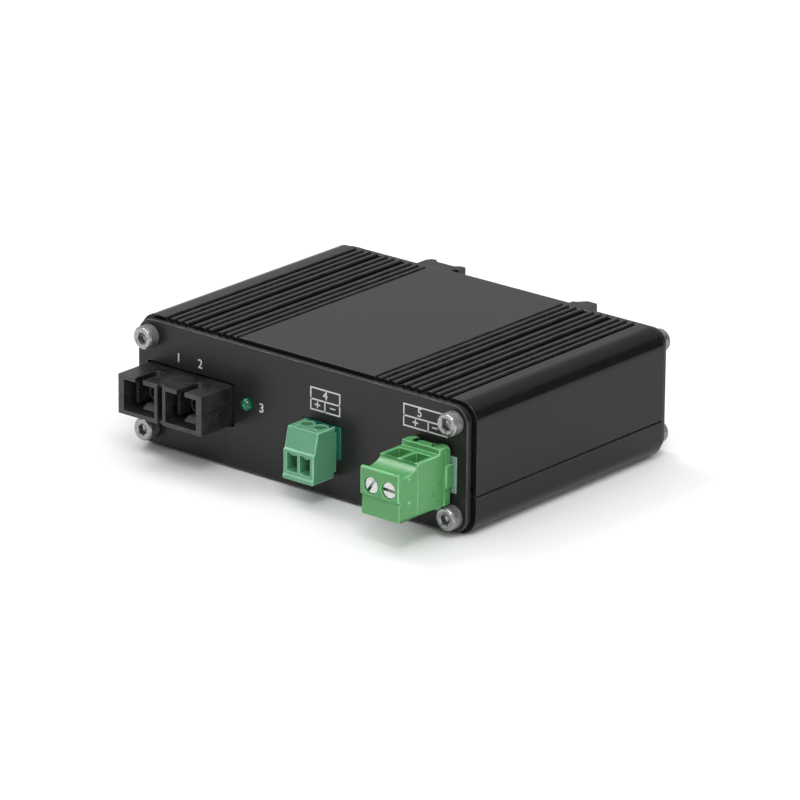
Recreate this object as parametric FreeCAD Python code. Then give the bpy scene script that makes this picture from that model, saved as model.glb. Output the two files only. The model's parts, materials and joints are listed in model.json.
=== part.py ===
import FreeCAD, Part
import math
import os
from FreeCAD import Vector

# Fibre media converter in a two-part extruded aluminium case, with a rail clip on its back.
# Millimetres. X runs across the front from left to right, Y from the front to the back, Z up.
# The origin is the middle of the flat underside, halfway along the extruded shells.

# Case shells
case_width = 100.0
case_height = 31.4
shell_length = 68.0
corner_radius = 4.8
side_wall = 2.2
floor_wall = 1.8
roof_wall = 1.6
seam_height = 9.5
lip_wall = 1.1
tongue_height = 2.8
shell_fit = 0.1
seam_bevel = 0.35

# Cooling fins on the roof, in groups on each side of a plain field
field_half_width = 20.3
fin_width = 1.2
fin_pitch = 2.15
fins_per_group = 3
groups_per_side = 3
group_pitch = 7.35
first_fin_offset = 1.25
last_valley_width = 1.15
groove_depth = 1.1
fin_edge_bevel = 0.25

# End plates, gaskets and their cap screws
plate_inset_x = 1.1
plate_inset_z = 0.7
plate_thickness = 1.5
plate_radius = 3.9
gasket_thickness = 0.7
gasket_inset = 0.5
gasket_band = 2.2
screw_inset_x = 4.76
screw_inset_z = 4.55
screw_radius = 1.45
thread_clearance = 0.05
screw_hole_clearance = 0.2
screw_length = 8.0
head_radius = 2.75
head_height = 3.0
socket_across_flats = 2.5
socket_depth = 1.6
port_wall = 1.5
port_slot = 1.1
socket_turns = (12.0, 41.0, 27.0, 55.0)

# Main board
board_top = 10.0
board_thickness = 1.6
board_end_gap = 1.0
board_side_gap = 0.15
board_grip = 2.4
board_rib = 1.3
board_slot_gap = 0.1

# Duplex fibre transceiver
optic_inset = 17.1
optic_z = 15.5
optic_width = 25.4
optic_height = 9.55
optic_length = 39.6
optic_reach = 10.75
optic_opening_gap = 0.5
port_pitch = 12.7
port_width = 9.3
port_height = 7.4
port_depth = 14.0
key_width = 2.4
key_length = 7.4
port_gap = 1.5
port_gap_depth = 6.0
bridge_wall = 0.8
arm_reach = 10.5
arm_thickness = 0.9
arm_height = 5.4
arm_inset = 0.5
ramp_width = 3.7
ramp_height = 1.0
ramp_start = 3.3
ramp_run = 1.6
parting_gap = 0.16
sleeve_radius = 2.1
sleeve_bore = 1.26
sleeve_start = 5.6
bore_depth = 6.4
lead_spread = 0.9
lead_side = 0.4
lead_length = 3.2
lead_rise = 0.75
barrel_radius = 3.0
barrel_length = 12.0
flange_radius = 3.6
flange_thickness = 1.5
barrel_fit = 0.1
half_wall = 1.2
optic_board_thickness = 1.0
optic_pin_count = 9
optic_pin_pitch = 2.54
optic_pin_side = 0.5
optic_pin_setback = 3.0
optic_foot_side = 2.0
optic_foot_inset = 2.0
optic_foot_setback = 6.0
pin_slot_gap = 0.25

# Status lamp
lamp_gap = 4.7
lamp_z = 16.9
lamp_radius = 1.5
lamp_reach = 1.9
lamp_dome = 1.2
lamp_body = 6.2
lamp_flange_radius = 1.85
lamp_flange_thickness = 1.0
lamp_lead_side = 0.5
lamp_lead_pitch = 2.54
lamp_lead_run = 2.2
lamp_hole_gap = 0.1

# Board sockets and their pull-off terminal plugs
header_proud = 0.0
header_opening_gap = 0.25
header_back_wall = 1.7
plug_gap = 0.6
shoulder_reach = 0.5
plug_bevel = 0.15
tail_below_board = 1.2
pin_setback = 1.6
pin_fit = 0.06
contact_fit = 0.1
slide_fit = 0.15

# Data terminal, wires from the front, screws from the top
data_x = 6.65
data_pitch = 3.81
data_header_width = 11.2
data_header_height = 7.6
data_header_depth = 9.2
data_header_wall = 1.25
data_pin_side = 0.8
data_pin_height = 4.0
data_plug_width = 9.0
data_plug_bottom = 5.7
data_plug_top = 17.85
data_plug_reach = 8.2
data_shelf_height = 12.75
data_slope = 1.55
data_tongue_length = 6.8
data_strip_proud = 0.28
data_strip_height = 0.95
data_foot_setback = 0.4
data_foot_height = 1.3
data_mouth_width = 3.05
data_mouth_bottom = 7.65
data_mouth_height = 4.4
data_lobe_drop = 0.75
data_lobe_radius = 2.0
data_screw_setback = 2.2
data_collar_radius = 1.95
data_lip_width = 0.7
data_slot_length = 1.9
data_slot_width = 0.4
data_slot_gap = 1.1
data_screw_radius = 0.95
data_head_radius = 1.3
data_head_height = 1.4
data_cage_width = 3.2
data_cage_depth = 3.0
data_cage_wall = 0.65
data_cage_nut = 1.0
data_cage_window = 3.4
data_cage_bottom = 7.1
data_cage_travel = 1.5
data_hole_radius = 1.4

# Power terminal, wires from the top, screws from the front
power_inset = 10.9
power_pitch = 5.08
power_header_width = 13.6
power_header_height = 8.6
power_header_depth = 12.0
power_header_wall = 1.5
power_pin_side = 1.0
power_pin_height = 4.3
power_plug_width = 11.0
power_plug_bottom = 7.6
power_plug_top = 20.1
power_plug_reach = 18.6
power_rim_height = 19.05
power_rim_depth = 0.95
power_saddle_height = 17.8
power_block_start = 6.8
power_ridge_start = 14.3
power_ridge_height = 1.25
power_front_step = 4.9
power_step_depth = 0.45
power_notch_width = 1.25
power_rail_depth = 0.75
power_tab_setback = 1.2
power_side_relief = 0.05
power_flange_depth = 2.0
power_flange_proud = 0.12
power_flange_drop = 0.95
power_flange_radius = 1.2
power_latch_length = 1.6
power_latch_width = 1.9
power_rib_length = 0.9
power_rib_height = 0.3
power_rib_proud = 0.12
power_rib_heights = (11.6, 17.2)
power_tongue_length = 7.2
power_screw_z = 14.85
power_screw_radius = 1.25
power_head_radius = 1.85
power_head_height = 1.6
power_head_recess = 0.45
power_seat_wall = 1.6
power_hole_radius = 2.0
power_cage_width = 3.9
power_cage_height = 4.9
power_cage_wall = 0.55
power_cage_nut = 1.2
power_cage_window = 4.8
power_cage_rear = 1.0
power_cage_travel = 2.0
power_hole_length = 5.6
power_guide_rib = 0.5

# Rail clip on the back
rail_width = 35.0
rail_x = -1.8
rail_slot = 1.5
rail_play = 0.3
clip_height = 26.0
clip_base_thickness = 5.5
clip_lip_thickness = 2.7
clip_lip_overlap = 0.8
clip_cover = 2.3
hook_thickness = 6.1
hook_back_drop = 0.5
hook_taper = 1.0
hook_taper_length = 3.8
latch_block_length = 9.9
latch_block_thickness = 3.05
latch_recess = 1.7
latch_travel = 3.0
latch_ridge_width = 3.2
horn_height = 1.9
clip_end_wall = 1.0
slide_width = 12.0
slide_fit_gap = 0.2
slide_end_wall = 1.5
neck_length = 4.0
neck_width = 7.0
spring_length = 8.0
spring_post = 1.5
spring_radius = 1.0
spring_wire = 0.5
spring_turns = 5
latch_screw_radius = 1.0
latch_screw_head_radius = 1.9
latch_screw_head_height = 1.2
clip_screw_spacing = 14.0
clip_screw_offset = 4.8
clip_head_radius = 2.8
clip_screw_tip = 1.2

# Worked-out places
front_end = -shell_length / 2
rear_end = shell_length / 2
plate_face = front_end - gasket_thickness - plate_thickness
back_face = rear_end + gasket_thickness + plate_thickness
mid_height = case_height / 2
inner_half = case_width / 2 - side_wall
groove_floor = case_height - groove_depth
screw_x = case_width / 2 - screw_inset_x
screw_rows = (screw_inset_z, case_height - screw_inset_z)
screw_places = [(side * screw_x, z) for side in (-1, 1) for z in screw_rows]
board_bottom = board_top - board_thickness
header_front = plate_face - header_proud
plug_rear = header_front - plug_gap
optic_x = -case_width / 2 + optic_inset
lamp_x = optic_x + optic_width / 2 + lamp_gap
power_x = case_width / 2 - power_inset
optic_front = plate_face - optic_reach
optic_bottom = optic_z - optic_height / 2
optic_top = optic_z + optic_height / 2
port_xs = (optic_x - port_pitch / 2, optic_x + port_pitch / 2)
clip_bottom = mid_height - clip_height / 2
clip_top = mid_height + clip_height / 2


def box(x0, x1, y0, y1, z0, z1):
    """Block between two opposite corners."""
    return Part.makeBox(x1 - x0, y1 - y0, z1 - z0, Vector(x0, y0, z0))


def rod(radius, base, run):
    """Round bar from the point base along the vector run."""
    return Part.makeCylinder(radius, run.Length, base, run)


def across(y):
    """Section plane across the case: a point (x, z) at this y."""
    return lambda x, z: Vector(x, y, z)


def beside(x):
    """Side plane: a point (y, z) at this x."""
    return lambda y, z: Vector(x, y, z)


def level(z):
    """Level plane: a point (x, y) at this height."""
    return lambda x, y: Vector(x, y, z)


def outline(corners, place):
    """Face through the corners (u, v, radius), each rounded by its own radius."""
    ends = []
    for i, (u, v, radius) in enumerate(corners):
        here = place(u, v)
        after = corners[(i + 1) % len(corners)]
        back = (place(*corners[i - 1][:2]) - here).normalize()
        ahead = (place(*after[:2]) - here).normalize()
        half = back.getAngle(ahead) / 2
        run = radius / math.tan(half)
        bisector = (back + ahead).normalize() if radius else Vector()
        middle = here + bisector * (radius / math.sin(half) - radius)
        ends.append((here + back * run, middle, here + ahead * run))
    edges = []
    for i, (start, middle, end) in enumerate(ends):
        if corners[i][2]:
            edges.append(Part.Arc(start, middle, end).toShape())
        following = ends[(i + 1) % len(ends)][0]
        if end.distanceToPoint(following) > 1e-6:
            edges.append(Part.LineSegment(end, following).toShape())
    return Part.Face(Part.Wire(edges))


def rectangle(u0, u1, v0, v1, place, radius=0.0):
    """Rectangle with equally rounded corners."""
    corners = [(u0, v0, radius), (u1, v0, radius), (u1, v1, radius), (u0, v1, radius)]
    return outline(corners, place)


def disc(radius, x, y, z):
    """Round face across the case."""
    edge = Part.makeCircle(radius, Vector(x, y, z), Vector(0, 1, 0))
    return Part.Face(Part.Wire(edge))


def pushed(face, length):
    """Extrusion of a section along the case."""
    return face.extrude(Vector(0, length, 0))


def joined(shapes):
    """One solid from several that overlap or meet."""
    result = shapes[0]
    if len(shapes) > 1:
        result = result.fuse(list(shapes[1:])).removeSplitter()
    return result


def turned(profile, x, z):
    """Solid of revolution about a line along Y through (x, z); profile holds (y, radius)."""
    points = [Vector(x, profile[0][0], z)]
    points += [Vector(x, y, z + radius) for y, radius in profile]
    points += [Vector(x, profile[-1][0], z), points[0]]
    face = Part.Face(Part.makePolygon(points))
    return face.revolve(Vector(x, 0, z), Vector(0, 1, 0), 360)


# Case


def valley_spans():
    """Left and right edges of each valley on the right-hand half of the roof."""
    fins = []
    first = field_half_width + first_fin_offset
    for group in range(groups_per_side):
        for fin in range(fins_per_group):
            middle = first + group * group_pitch + fin * fin_pitch
            fins.append((middle - fin_width / 2, middle + fin_width / 2))
    starts = [field_half_width] + [right for left, right in fins]
    ends = [left for left, right in fins] + [fins[-1][1] + last_valley_width]
    return list(zip(starts, ends))


def valley_section(start, end):
    """Section of a valley, flared at its mouth so that the fin edges are bevelled."""
    top = case_height
    shoulder = top - fin_edge_bevel
    left, right = start - fin_edge_bevel, end + fin_edge_bevel
    corners = [(start, shoulder), (start, groove_floor), (end, groove_floor), (end, shoulder),
               (right, top), (right, top + 1), (left, top + 1), (left, top)]
    return outline([(x, z, 0) for x, z in corners], across(front_end))


def screw_port_sections(row, place_y):
    """Round wall, bore and side slot of the two extruded screw ports at one height."""
    walls, cuts = [], []
    bore = screw_radius + thread_clearance
    for side in (-1, 1):
        x = side * screw_x
        walls.append(disc(bore + port_wall, x, place_y, row))
        cuts.append(disc(bore, x, place_y, row))
        inner = x - side * (bore + port_wall + 1)
        edges = sorted((x, inner))
        cuts.append(rectangle(*edges, row - port_slot / 2, row + port_slot / 2, across(place_y)))
    return walls, cuts


def upper_shell():
    """Deep upper extrusion: finned roof, side walls and the lip that covers the seam."""
    place = across(front_end)
    half = case_width / 2
    ceiling = groove_floor - roof_wall
    bevel = seam_bevel
    section = outline(
        [(-half, seam_height + bevel, 0), (bevel - half, seam_height, 0), (half - bevel, seam_height, 0),
         (half, seam_height + bevel, 0), (half, case_height, corner_radius),
         (-half, case_height, corner_radius)], place)
    cavity = outline(
        [(-inner_half, seam_height - 1, 0), (inner_half, seam_height - 1, 0),
         (inner_half, ceiling, 1.0), (-inner_half, ceiling, 1.0)], place)
    recess_top = seam_height + tongue_height + shell_fit
    recess_half = half - lip_wall
    recess = rectangle(-recess_half, recess_half, seam_height - 1, recess_top, place)
    walls, cuts = screw_port_sections(screw_rows[1], front_end)
    section = section.cut(cavity).cut(recess)
    section = section.fuse(walls)
    valleys = []
    for start, end in valley_spans():
        valleys.append(valley_section(start, end))
        valleys.append(valley_section(-end, -start))
    section = section.cut(cuts + valleys).removeSplitter()
    return pushed(section.Faces[0], shell_length)


def lower_shell():
    """Shallow lower extrusion: floor, tongues inside the seam and the board's slots."""
    place = across(front_end)
    half = case_width / 2
    bevel = seam_bevel
    section = outline(
        [(-half, 0, corner_radius), (half, 0, corner_radius), (half, seam_height - bevel, 0),
         (half - bevel, seam_height, 0), (bevel - half, seam_height, 0),
         (-half, seam_height - bevel, 0)], place)
    cavity = outline(
        [(-inner_half, floor_wall, 1.0), (inner_half, floor_wall, 1.0),
         (inner_half, seam_height + 1, 0), (-inner_half, seam_height + 1, 0)], place)
    section = section.cut(cavity)
    additions = []
    for side in (-1, 1):
        tongue = sorted((side * inner_half, side * (half - lip_wall - shell_fit)))
        additions.append(rectangle(*tongue, seam_height - 1, seam_height + tongue_height, place))
        ledge = sorted((side * inner_half, side * (inner_half - board_grip)))
        additions.append(rectangle(*ledge, board_bottom - board_rib, board_bottom, place))
        keeper_bottom = board_top + board_slot_gap
        keeper = sorted((side * inner_half, side * (inner_half - board_grip / 2)))
        additions.append(rectangle(*keeper, keeper_bottom, keeper_bottom + board_rib, place))
    walls, cuts = screw_port_sections(screw_rows[0], front_end)
    section = section.fuse(additions + walls).cut(cuts).removeSplitter()
    return pushed(section.Faces[0], shell_length)


def end_plate(y):
    """Flat end plate with its four screw holes."""
    half = case_width / 2 - plate_inset_x
    place = across(y)
    face = rectangle(-half, half, plate_inset_z, case_height - plate_inset_z, place, plate_radius)
    holes = [disc(screw_radius + screw_hole_clearance, x, y, z) for x, z in screw_places]
    return pushed(face.cut(holes).Faces[0], plate_thickness)


def front_plate():
    """Front end plate with the openings for the transceiver, lamp and terminals."""
    y = plate_face
    plate = end_plate(y)
    gap = optic_opening_gap
    half = optic_width / 2 + gap
    cuts = [rectangle(optic_x - half, optic_x + half, optic_bottom - gap, optic_top + gap,
                      across(y))]
    cuts.append(disc(lamp_radius + lamp_hole_gap, lamp_x, y, lamp_z))
    for x, width, height in ((data_x, data_header_width, data_header_height),
                             (power_x, power_header_width, power_header_height)):
        reach = width / 2 + header_opening_gap
        cuts.append(rectangle(x - reach, x + reach, board_top - header_opening_gap,
                              board_top + height + header_opening_gap, across(y)))
    return plate.cut([pushed(cut, plate_thickness) for cut in cuts])


def rear_plate():
    """Rear end plate, tapped for the rail clip."""
    y = rear_end + gasket_thickness
    tapped = [pushed(disc(screw_radius + thread_clearance, x, y, mid_height), plate_thickness)
              for x in clip_screw_xs()]
    return end_plate(y).cut(tapped)


def gasket(y):
    """Thin rubber ring between a shell end and its plate."""
    half = case_width / 2 - plate_inset_x - gasket_inset
    low = plate_inset_z + gasket_inset
    radius = plate_radius - gasket_inset
    place = across(y)
    ring = rectangle(-half, half, low, case_height - low, place, radius)
    inner = half - gasket_band
    low_inner = low + gasket_band
    ring = ring.cut(rectangle(-inner, inner, low_inner, case_height - low_inner, place))
    pads = [disc(head_radius, x, y, z) for x, z in screw_places]
    holes = [disc(screw_radius + screw_hole_clearance, x, y, z) for x, z in screw_places]
    ring = ring.fuse(pads).cut(holes).removeSplitter()
    return pushed(ring.Faces[0], gasket_thickness)


def cap_screw(x, z, face_y, inward, turn):
    """Socket-head cap screw; its head stands on face_y and its shank points inward along Y."""
    top = face_y - inward * head_height
    profile = [(top, head_radius), (face_y, head_radius), (face_y, screw_radius),
               (face_y + inward * screw_length, screw_radius)]
    screw = turned(profile, x, z)
    corner = socket_across_flats / 2 / math.cos(math.radians(30))
    points = []
    for i in range(6):
        angle = math.radians(60 * i + turn)
        points.append((x + corner * math.cos(angle), z + corner * math.sin(angle), 0))
    socket = outline(points, across(top)).extrude(Vector(0, inward * socket_depth, 0))
    return screw.cut(socket)


def plate_screws(face_y, inward):
    """The four cap screws of one end plate."""
    return [cap_screw(x, z, face_y, inward, turn)
            for (x, z), turn in zip(screw_places, socket_turns)]


# Main board and what stands on it


def header_pins(x, pitch, side, height, depth):
    """Two square pins: forward in the socket's cavity, bent down through the board behind it."""
    pins = []
    z = board_top + height
    front = header_front + pin_setback
    rear = header_front + depth + side
    low = board_bottom - tail_below_board
    for pole in (-0.5, 0.5):
        middle = x + pole * pitch
        face = outline(
            [(front, z - side / 2, 0), (rear - side, z - side / 2, 0), (rear - side, low, 0),
             (rear, low, 0), (rear, z + side / 2, 0), (front, z + side / 2, 0)],
            beside(middle - side / 2))
        pins.append(face.extrude(Vector(side, 0, 0)))
    return pins


def data_pins():
    """Pins of the data socket."""
    return header_pins(data_x, data_pitch, data_pin_side, data_pin_height, data_header_depth)


def power_pins():
    """Pins of the power socket."""
    return header_pins(power_x, power_pitch, power_pin_side, power_pin_height, power_header_depth)


def header(x, width, height, depth, wall, pins):
    """Open-fronted board socket; the pins pass through its back wall."""
    front = header_front
    body = box(x - width / 2, x + width / 2, front, front + depth, board_top, board_top + height)
    cavity = pushed(rectangle(x - width / 2 + wall, x + width / 2 - wall, board_top + wall,
                              board_top + height - wall, across(front)), depth - header_back_wall)
    return body.cut([cavity] + pins)


def data_header():
    """Board socket of the data terminal."""
    return header(data_x, data_header_width, data_header_height, data_header_depth,
                  data_header_wall, data_pins())


def power_header():
    """Board socket of the power terminal."""
    return header(power_x, power_header_width, power_header_height, power_header_depth,
                  power_header_wall, power_pins())


def optic_pin_row():
    """Centre of each pin under the back of the transceiver."""
    y = optic_front + optic_length - optic_pin_setback
    first = optic_x - (optic_pin_count - 1) / 2 * optic_pin_pitch
    return [(first + i * optic_pin_pitch, y) for i in range(optic_pin_count)]


def transceiver_pins():
    """Row of square pins from the transceiver's own board down through the main board."""
    return [pin_block(x, y, 0, board_bottom - tail_below_board, optic_z) for x, y in optic_pin_row()]


def pin_block(x, y, grow, low, high):
    """Square pin, or the hole for it when it is grown."""
    half = optic_pin_side / 2 + grow
    return box(x - half, x + half, y - half, y + half, low, high)


def main_board():
    """Printed board, slid into the slots of the lower shell and drilled for its pins."""
    half = inner_half - board_side_gap
    board = box(-half, half, front_end + board_end_gap, rear_end - board_end_gap,
                board_bottom, board_top)
    gap = pin_fit
    holes = [pin_block(x, y, gap, board_bottom, board_top) for x, y in optic_pin_row()]
    for pin in data_pins() + power_pins() + lamp_leads():
        bounds = pin.BoundBox
        foot = pin.common(box(bounds.XMin, bounds.XMax, bounds.YMin, bounds.YMax,
                              board_bottom, board_top)).BoundBox
        holes.append(box(foot.XMin - gap, foot.XMax + gap, foot.YMin - gap, foot.YMax + gap,
                         board_bottom, board_top))
    return board.cut(holes)


def status_lamp():
    """Round indicator lamp whose dome shows through the front plate."""
    tip = plate_face - lamp_reach
    profile = []
    steps = 3
    for i in range(steps + 1):
        angle = math.radians(90 * i / steps)
        profile.append((tip + lamp_dome * (1 - math.cos(angle)), lamp_radius * math.sin(angle)))
    end = tip + lamp_body
    flange = end - lamp_flange_thickness
    profile += [(flange, lamp_radius), (flange, lamp_flange_radius), (end, lamp_flange_radius)]
    return turned(profile[1:], lamp_x, lamp_z)


def lamp_leads():
    """Two wire legs of the lamp, bent down into the board."""
    leads = []
    start = plate_face - lamp_reach + lamp_body
    side = lamp_lead_side
    rear = start + lamp_lead_run
    low = board_bottom - tail_below_board
    for pole in (-0.5, 0.5):
        x = lamp_x + pole * lamp_lead_pitch - side / 2
        face = outline(
            [(start, lamp_z - side / 2, 0), (rear - side, lamp_z - side / 2, 0), (rear - side, low, 0),
             (rear, low, 0), (rear, lamp_z + side / 2, 0), (start, lamp_z + side / 2, 0)], beside(x))
        leads.append(face.extrude(Vector(side, 0, 0)))
    return leads


def chip(x, y, width, depth, height, legs, leg_pitch):
    """Moulded chip with a row of bent legs along its front and back; returns body and legs."""
    low = board_top + chip_lift
    body = box(x - width / 2, x + width / 2, y - depth / 2, y + depth / 2, low, low + height)
    pieces = []
    knee = low + height / 2
    foot_top = board_top + leg_thickness
    for i in range(legs):
        left = x + (i - (legs - 1) / 2) * leg_pitch - leg_width / 2
        for side in (-1, 1):
            edge = y + side * depth / 2
            bend, toe = edge + side * leg_slant, edge + side * leg_reach
            path = [(edge, knee), (bend, foot_top), (toe, foot_top), (toe, board_top),
                    (bend - side * leg_thickness, board_top), (edge, knee - leg_thickness)]
            face = outline([(v, w, 0) for v, w in path], beside(left))
            pieces.append(face.extrude(Vector(leg_width, 0, 0)))
    return body, pieces


# Parts on the main board; setbacks are measured from the shells' front or rear end
logic_side = 14.0
logic_height = 1.4
logic_leg_count = 16
logic_leg_pitch = 0.8
logic_setback = 22.0
line_chip_length = 10.3
line_chip_width = 7.5
line_chip_height = 2.3
line_leg_count = 8
line_leg_pitch = 1.27
line_chip_x = -4.0
line_chip_setback = 24.0
driver_chip_length = 5.0
driver_chip_width = 4.0
driver_chip_height = 1.5
driver_leg_count = 4
driver_chip_x = 7.5
driver_chip_setback = 17.0
chip_x = -2.0
chip_lift = 0.15
leg_width = 0.4
leg_thickness = 0.2
leg_slant = 0.45
leg_reach = 1.2
capacitor_radius = 4.0
capacitor_height = 11.5
capacitor_pitch = 10.5
capacitor_gap = 12.1
capacitor_setback = 23.0
choke_side = 9.0
choke_corner = 1.6
choke_height = 6.0
choke_setback = 22.5
module_side = 20.0
module_height = 10.0
module_side_gap = 7.8
module_rear_gap = 11.0
crystal_length = 11.0
crystal_width = 4.6
crystal_height = 3.5
crystal_setback = 8.5
part_length = 2.0
part_width = 1.25
part_pitch = 4.0
part_row_count = 5
part_rows_start = 9.8
part_row_setbacks = (14.0, 6.0)
part_row_heights = (0.5, 0.8)


def storage_capacitors():
    """Two standing electrolytic capacitors."""
    y = front_end + capacitor_setback
    return [rod(capacitor_radius, Vector(x, y, board_top), Vector(0, 0, capacitor_height))
            for x in (power_x - capacitor_gap - capacitor_pitch, power_x - capacitor_gap)]


def filter_choke():
    """Shielded choke: a square ferrite block with cut corners."""
    x, y = power_x, front_end + choke_setback
    half = choke_side / 2
    near = half - choke_corner
    corners = [(-near, -half), (near, -half), (half, -near), (half, near),
               (near, half), (-near, half), (-half, near), (-half, -near)]
    face = outline([(x + u, y + v, 0) for u, v in corners], level(board_top))
    return face.extrude(Vector(0, 0, choke_height))


def power_module():
    """Potted supply module."""
    half = module_side / 2
    x = inner_half - module_side_gap - half
    y = rear_end - module_rear_gap - half
    return box(x - half, x + half, y - half, y + half, board_top, board_top + module_height)


def crystal_can():
    """Oval metal crystal can."""
    x, y = chip_x, rear_end - crystal_setback
    face = rectangle(x - crystal_length / 2, x + crystal_length / 2, y - crystal_width / 2,
                     y + crystal_width / 2, level(board_top), crystal_width / 2 - 0.05)
    return face.extrude(Vector(0, 0, crystal_height))


def surface_parts():
    """Rows of small surface-mounted resistors and capacitors."""
    parts = []
    for setback, height in zip(part_row_setbacks, part_row_heights):
        y = rear_end - setback
        for i in range(part_row_count):
            x = part_rows_start - inner_half + i * part_pitch
            parts.append(box(x, x + part_length, y, y + part_width, board_top, board_top + height))
    return parts


# Fibre transceiver


def optic_block(z0, z1):
    """Plain block of one half of the transceiver housing."""
    half = optic_width / 2
    return box(optic_x - half, optic_x + half, optic_front, optic_front + optic_length, z0, z1)


def port_ramp(x, low, port_end):
    """Raised rib on the floor of a port, sloped at its front."""
    start = optic_front + ramp_start
    slope = outline(
        [(start, low, 0), (port_end, low, 0), (port_end, low + ramp_height, 0),
         (start + ramp_run, low + ramp_height, 0)], beside(x - ramp_width / 2))
    return slope.extrude(Vector(ramp_width, 0, 0))


def optic_hollows():
    """Everything that both halves of the housing are hollowed by."""
    cuts = []
    front = optic_front
    port_end = front + port_depth
    barrel_end = port_end + barrel_length + barrel_fit
    fit = barrel_fit
    for x in port_xs:
        low = optic_z - port_height / 2
        high = optic_z + port_height / 2
        left, right = x - port_width / 2, x + port_width / 2
        mouth = box(left, right, front - 1, port_end, low, high)
        ramp = port_ramp(x, low, port_end)
        arms = []
        for side in (-1, 1):
            edge = x + side * (port_width / 2 - arm_inset)
            sides = sorted((edge, edge - side * arm_thickness))
            arms.append(box(*sides, port_end - arm_reach, port_end, optic_z - arm_height / 2,
                            optic_z + arm_height / 2))
        cuts.append(mouth.cut([ramp] + arms))
        neck = turned([(port_end - 1, sleeve_radius + fit), (barrel_end, sleeve_radius + fit)], x, optic_z)
        seat = turned([(port_end, barrel_radius + fit), (barrel_end, barrel_radius + fit)], x, optic_z)
        groove_start = port_end + 2.0
        groove = turned([(groove_start - fit, flange_radius + fit),
                         (groove_start + flange_thickness + fit, flange_radius + fit)], x, optic_z)
        cuts += [neck, seat, groove]
    half = optic_width / 2 - half_wall
    cuts.append(box(optic_x - half, optic_x + half, barrel_end, front + optic_length - half_wall,
                    optic_bottom + half_wall, optic_top - half_wall))
    cuts.append(box(optic_x - port_gap / 2, optic_x + port_gap / 2, front - 1, front + port_gap_depth,
                    optic_bottom + bridge_wall, optic_top - bridge_wall))
    notch = box(optic_x - port_gap / 2, optic_x + port_gap / 2, front - 1, front + 0.9,
                optic_bottom - 1, optic_top + 1)
    cuts.append(notch)
    return cuts


def key_slots():
    """Slot in the roof of each port for the connector's key, round at its inner end."""
    slots = []
    radius = key_width / 2
    for x in port_xs:
        face = outline(
            [(x - radius, optic_front - 1, 0), (x + radius, optic_front - 1, 0),
             (x + radius, optic_front + key_length, radius - 0.02),
             (x - radius, optic_front + key_length, radius - 0.02)], level(optic_z))
        slots.append(face.extrude(Vector(0, 0, optic_height)))
    return slots


def transceiver_lower_half():
    """Lower moulding with feet on the main board and a slot for the pins."""
    half = optic_block(optic_bottom, optic_z)
    row = optic_pin_row()
    gap = optic_pin_side / 2 + pin_slot_gap
    slot = box(row[0][0] - gap, row[-1][0] + gap, row[0][1] - gap, row[0][1] + gap,
               optic_bottom - 1, optic_z)
    feet = []
    reach = optic_foot_side / 2
    inset = optic_foot_inset
    for x in (optic_x - optic_width / 2 + inset, optic_x + optic_width / 2 - inset):
        for y in (front_end + board_end_gap + inset, optic_front + optic_length - optic_foot_setback):
            feet.append(box(x - reach, x + reach, y - reach, y + reach, board_top, optic_bottom + 0.5))
    return joined([half.cut(optic_hollows() + [slot])] + feet)


def transceiver_upper_half():
    """Upper moulding with the key slots."""
    gap = 0.02
    half = optic_width / 2
    grooves = []
    for side in (-1, 1):
        edges = sorted((optic_x + side * (half - parting_gap), optic_x + side * (half + 1)))
        grooves.append(box(*edges, optic_front - 1, optic_front + optic_length + 1, optic_z,
                           optic_z + parting_gap))
    return optic_block(optic_z + gap, optic_top).cut(optic_hollows() + key_slots() + grooves)


def optic_barrel(x):
    """Light source or receiver can with the sleeve that takes the connector's ferrule."""
    port_end = optic_front + port_depth
    flange = port_end + 2.0
    end = port_end + barrel_length
    profile = [(optic_front + sleeve_start, sleeve_radius - 0.3),
               (optic_front + sleeve_start + 0.3, sleeve_radius), (port_end + 0.6, sleeve_radius),
               (port_end + 0.6, barrel_radius), (flange, barrel_radius), (flange, flange_radius),
               (flange + flange_thickness, flange_radius), (flange + flange_thickness, barrel_radius),
               (end, barrel_radius)]
    bore = rod(sleeve_bore, Vector(x, optic_front + sleeve_start, optic_z), Vector(0, bore_depth, 0))
    legs = []
    for side in (-1, 1):
        lead = x + side * lead_spread
        half = lead_side / 2
        legs.append(box(lead - half, lead + half, end - half, end + lead_length,
                        optic_z + lead_rise - half, optic_z + lead_rise + half))
    return joined([turned(profile, x, optic_z).cut(bore)] + legs)


def transceiver_board():
    """Small board inside the transceiver, which the can's legs and the pins are soldered to."""
    half = optic_width / 2 - half_wall - 0.3
    start = optic_front + port_depth + barrel_length + 0.9
    end = optic_front + optic_length - half_wall - 0.3
    board = box(optic_x - half, optic_x + half, start, end, optic_z - optic_board_thickness / 2,
                optic_z + optic_board_thickness / 2)
    holes = [pin_block(x, y, 0, optic_z - 1, optic_z) for x, y in optic_pin_row()]
    return board.cut(holes)


# Data plug


def pole_xs(x, pitch):
    """Middle of each of the two poles."""
    return [x - pitch / 2, x + pitch / 2]


data_screw_y = plug_rear - data_screw_setback
data_pocket_front = data_screw_y - data_cage_depth / 2 - slide_fit
data_pocket_rear = data_screw_y + data_cage_depth / 2 + slide_fit
data_window_top = data_cage_bottom + data_cage_wall + data_cage_window
data_cage_top = data_window_top + data_cage_nut
data_ceiling = data_cage_top + data_cage_travel + 0.1
data_head_seat = data_ceiling + 0.5
data_blade_top = data_window_top - 0.45
data_blade = 0.4
data_pin_z = board_top + data_pin_height
data_lip_low = board_top + data_header_height - data_header_wall - slide_fit


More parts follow.
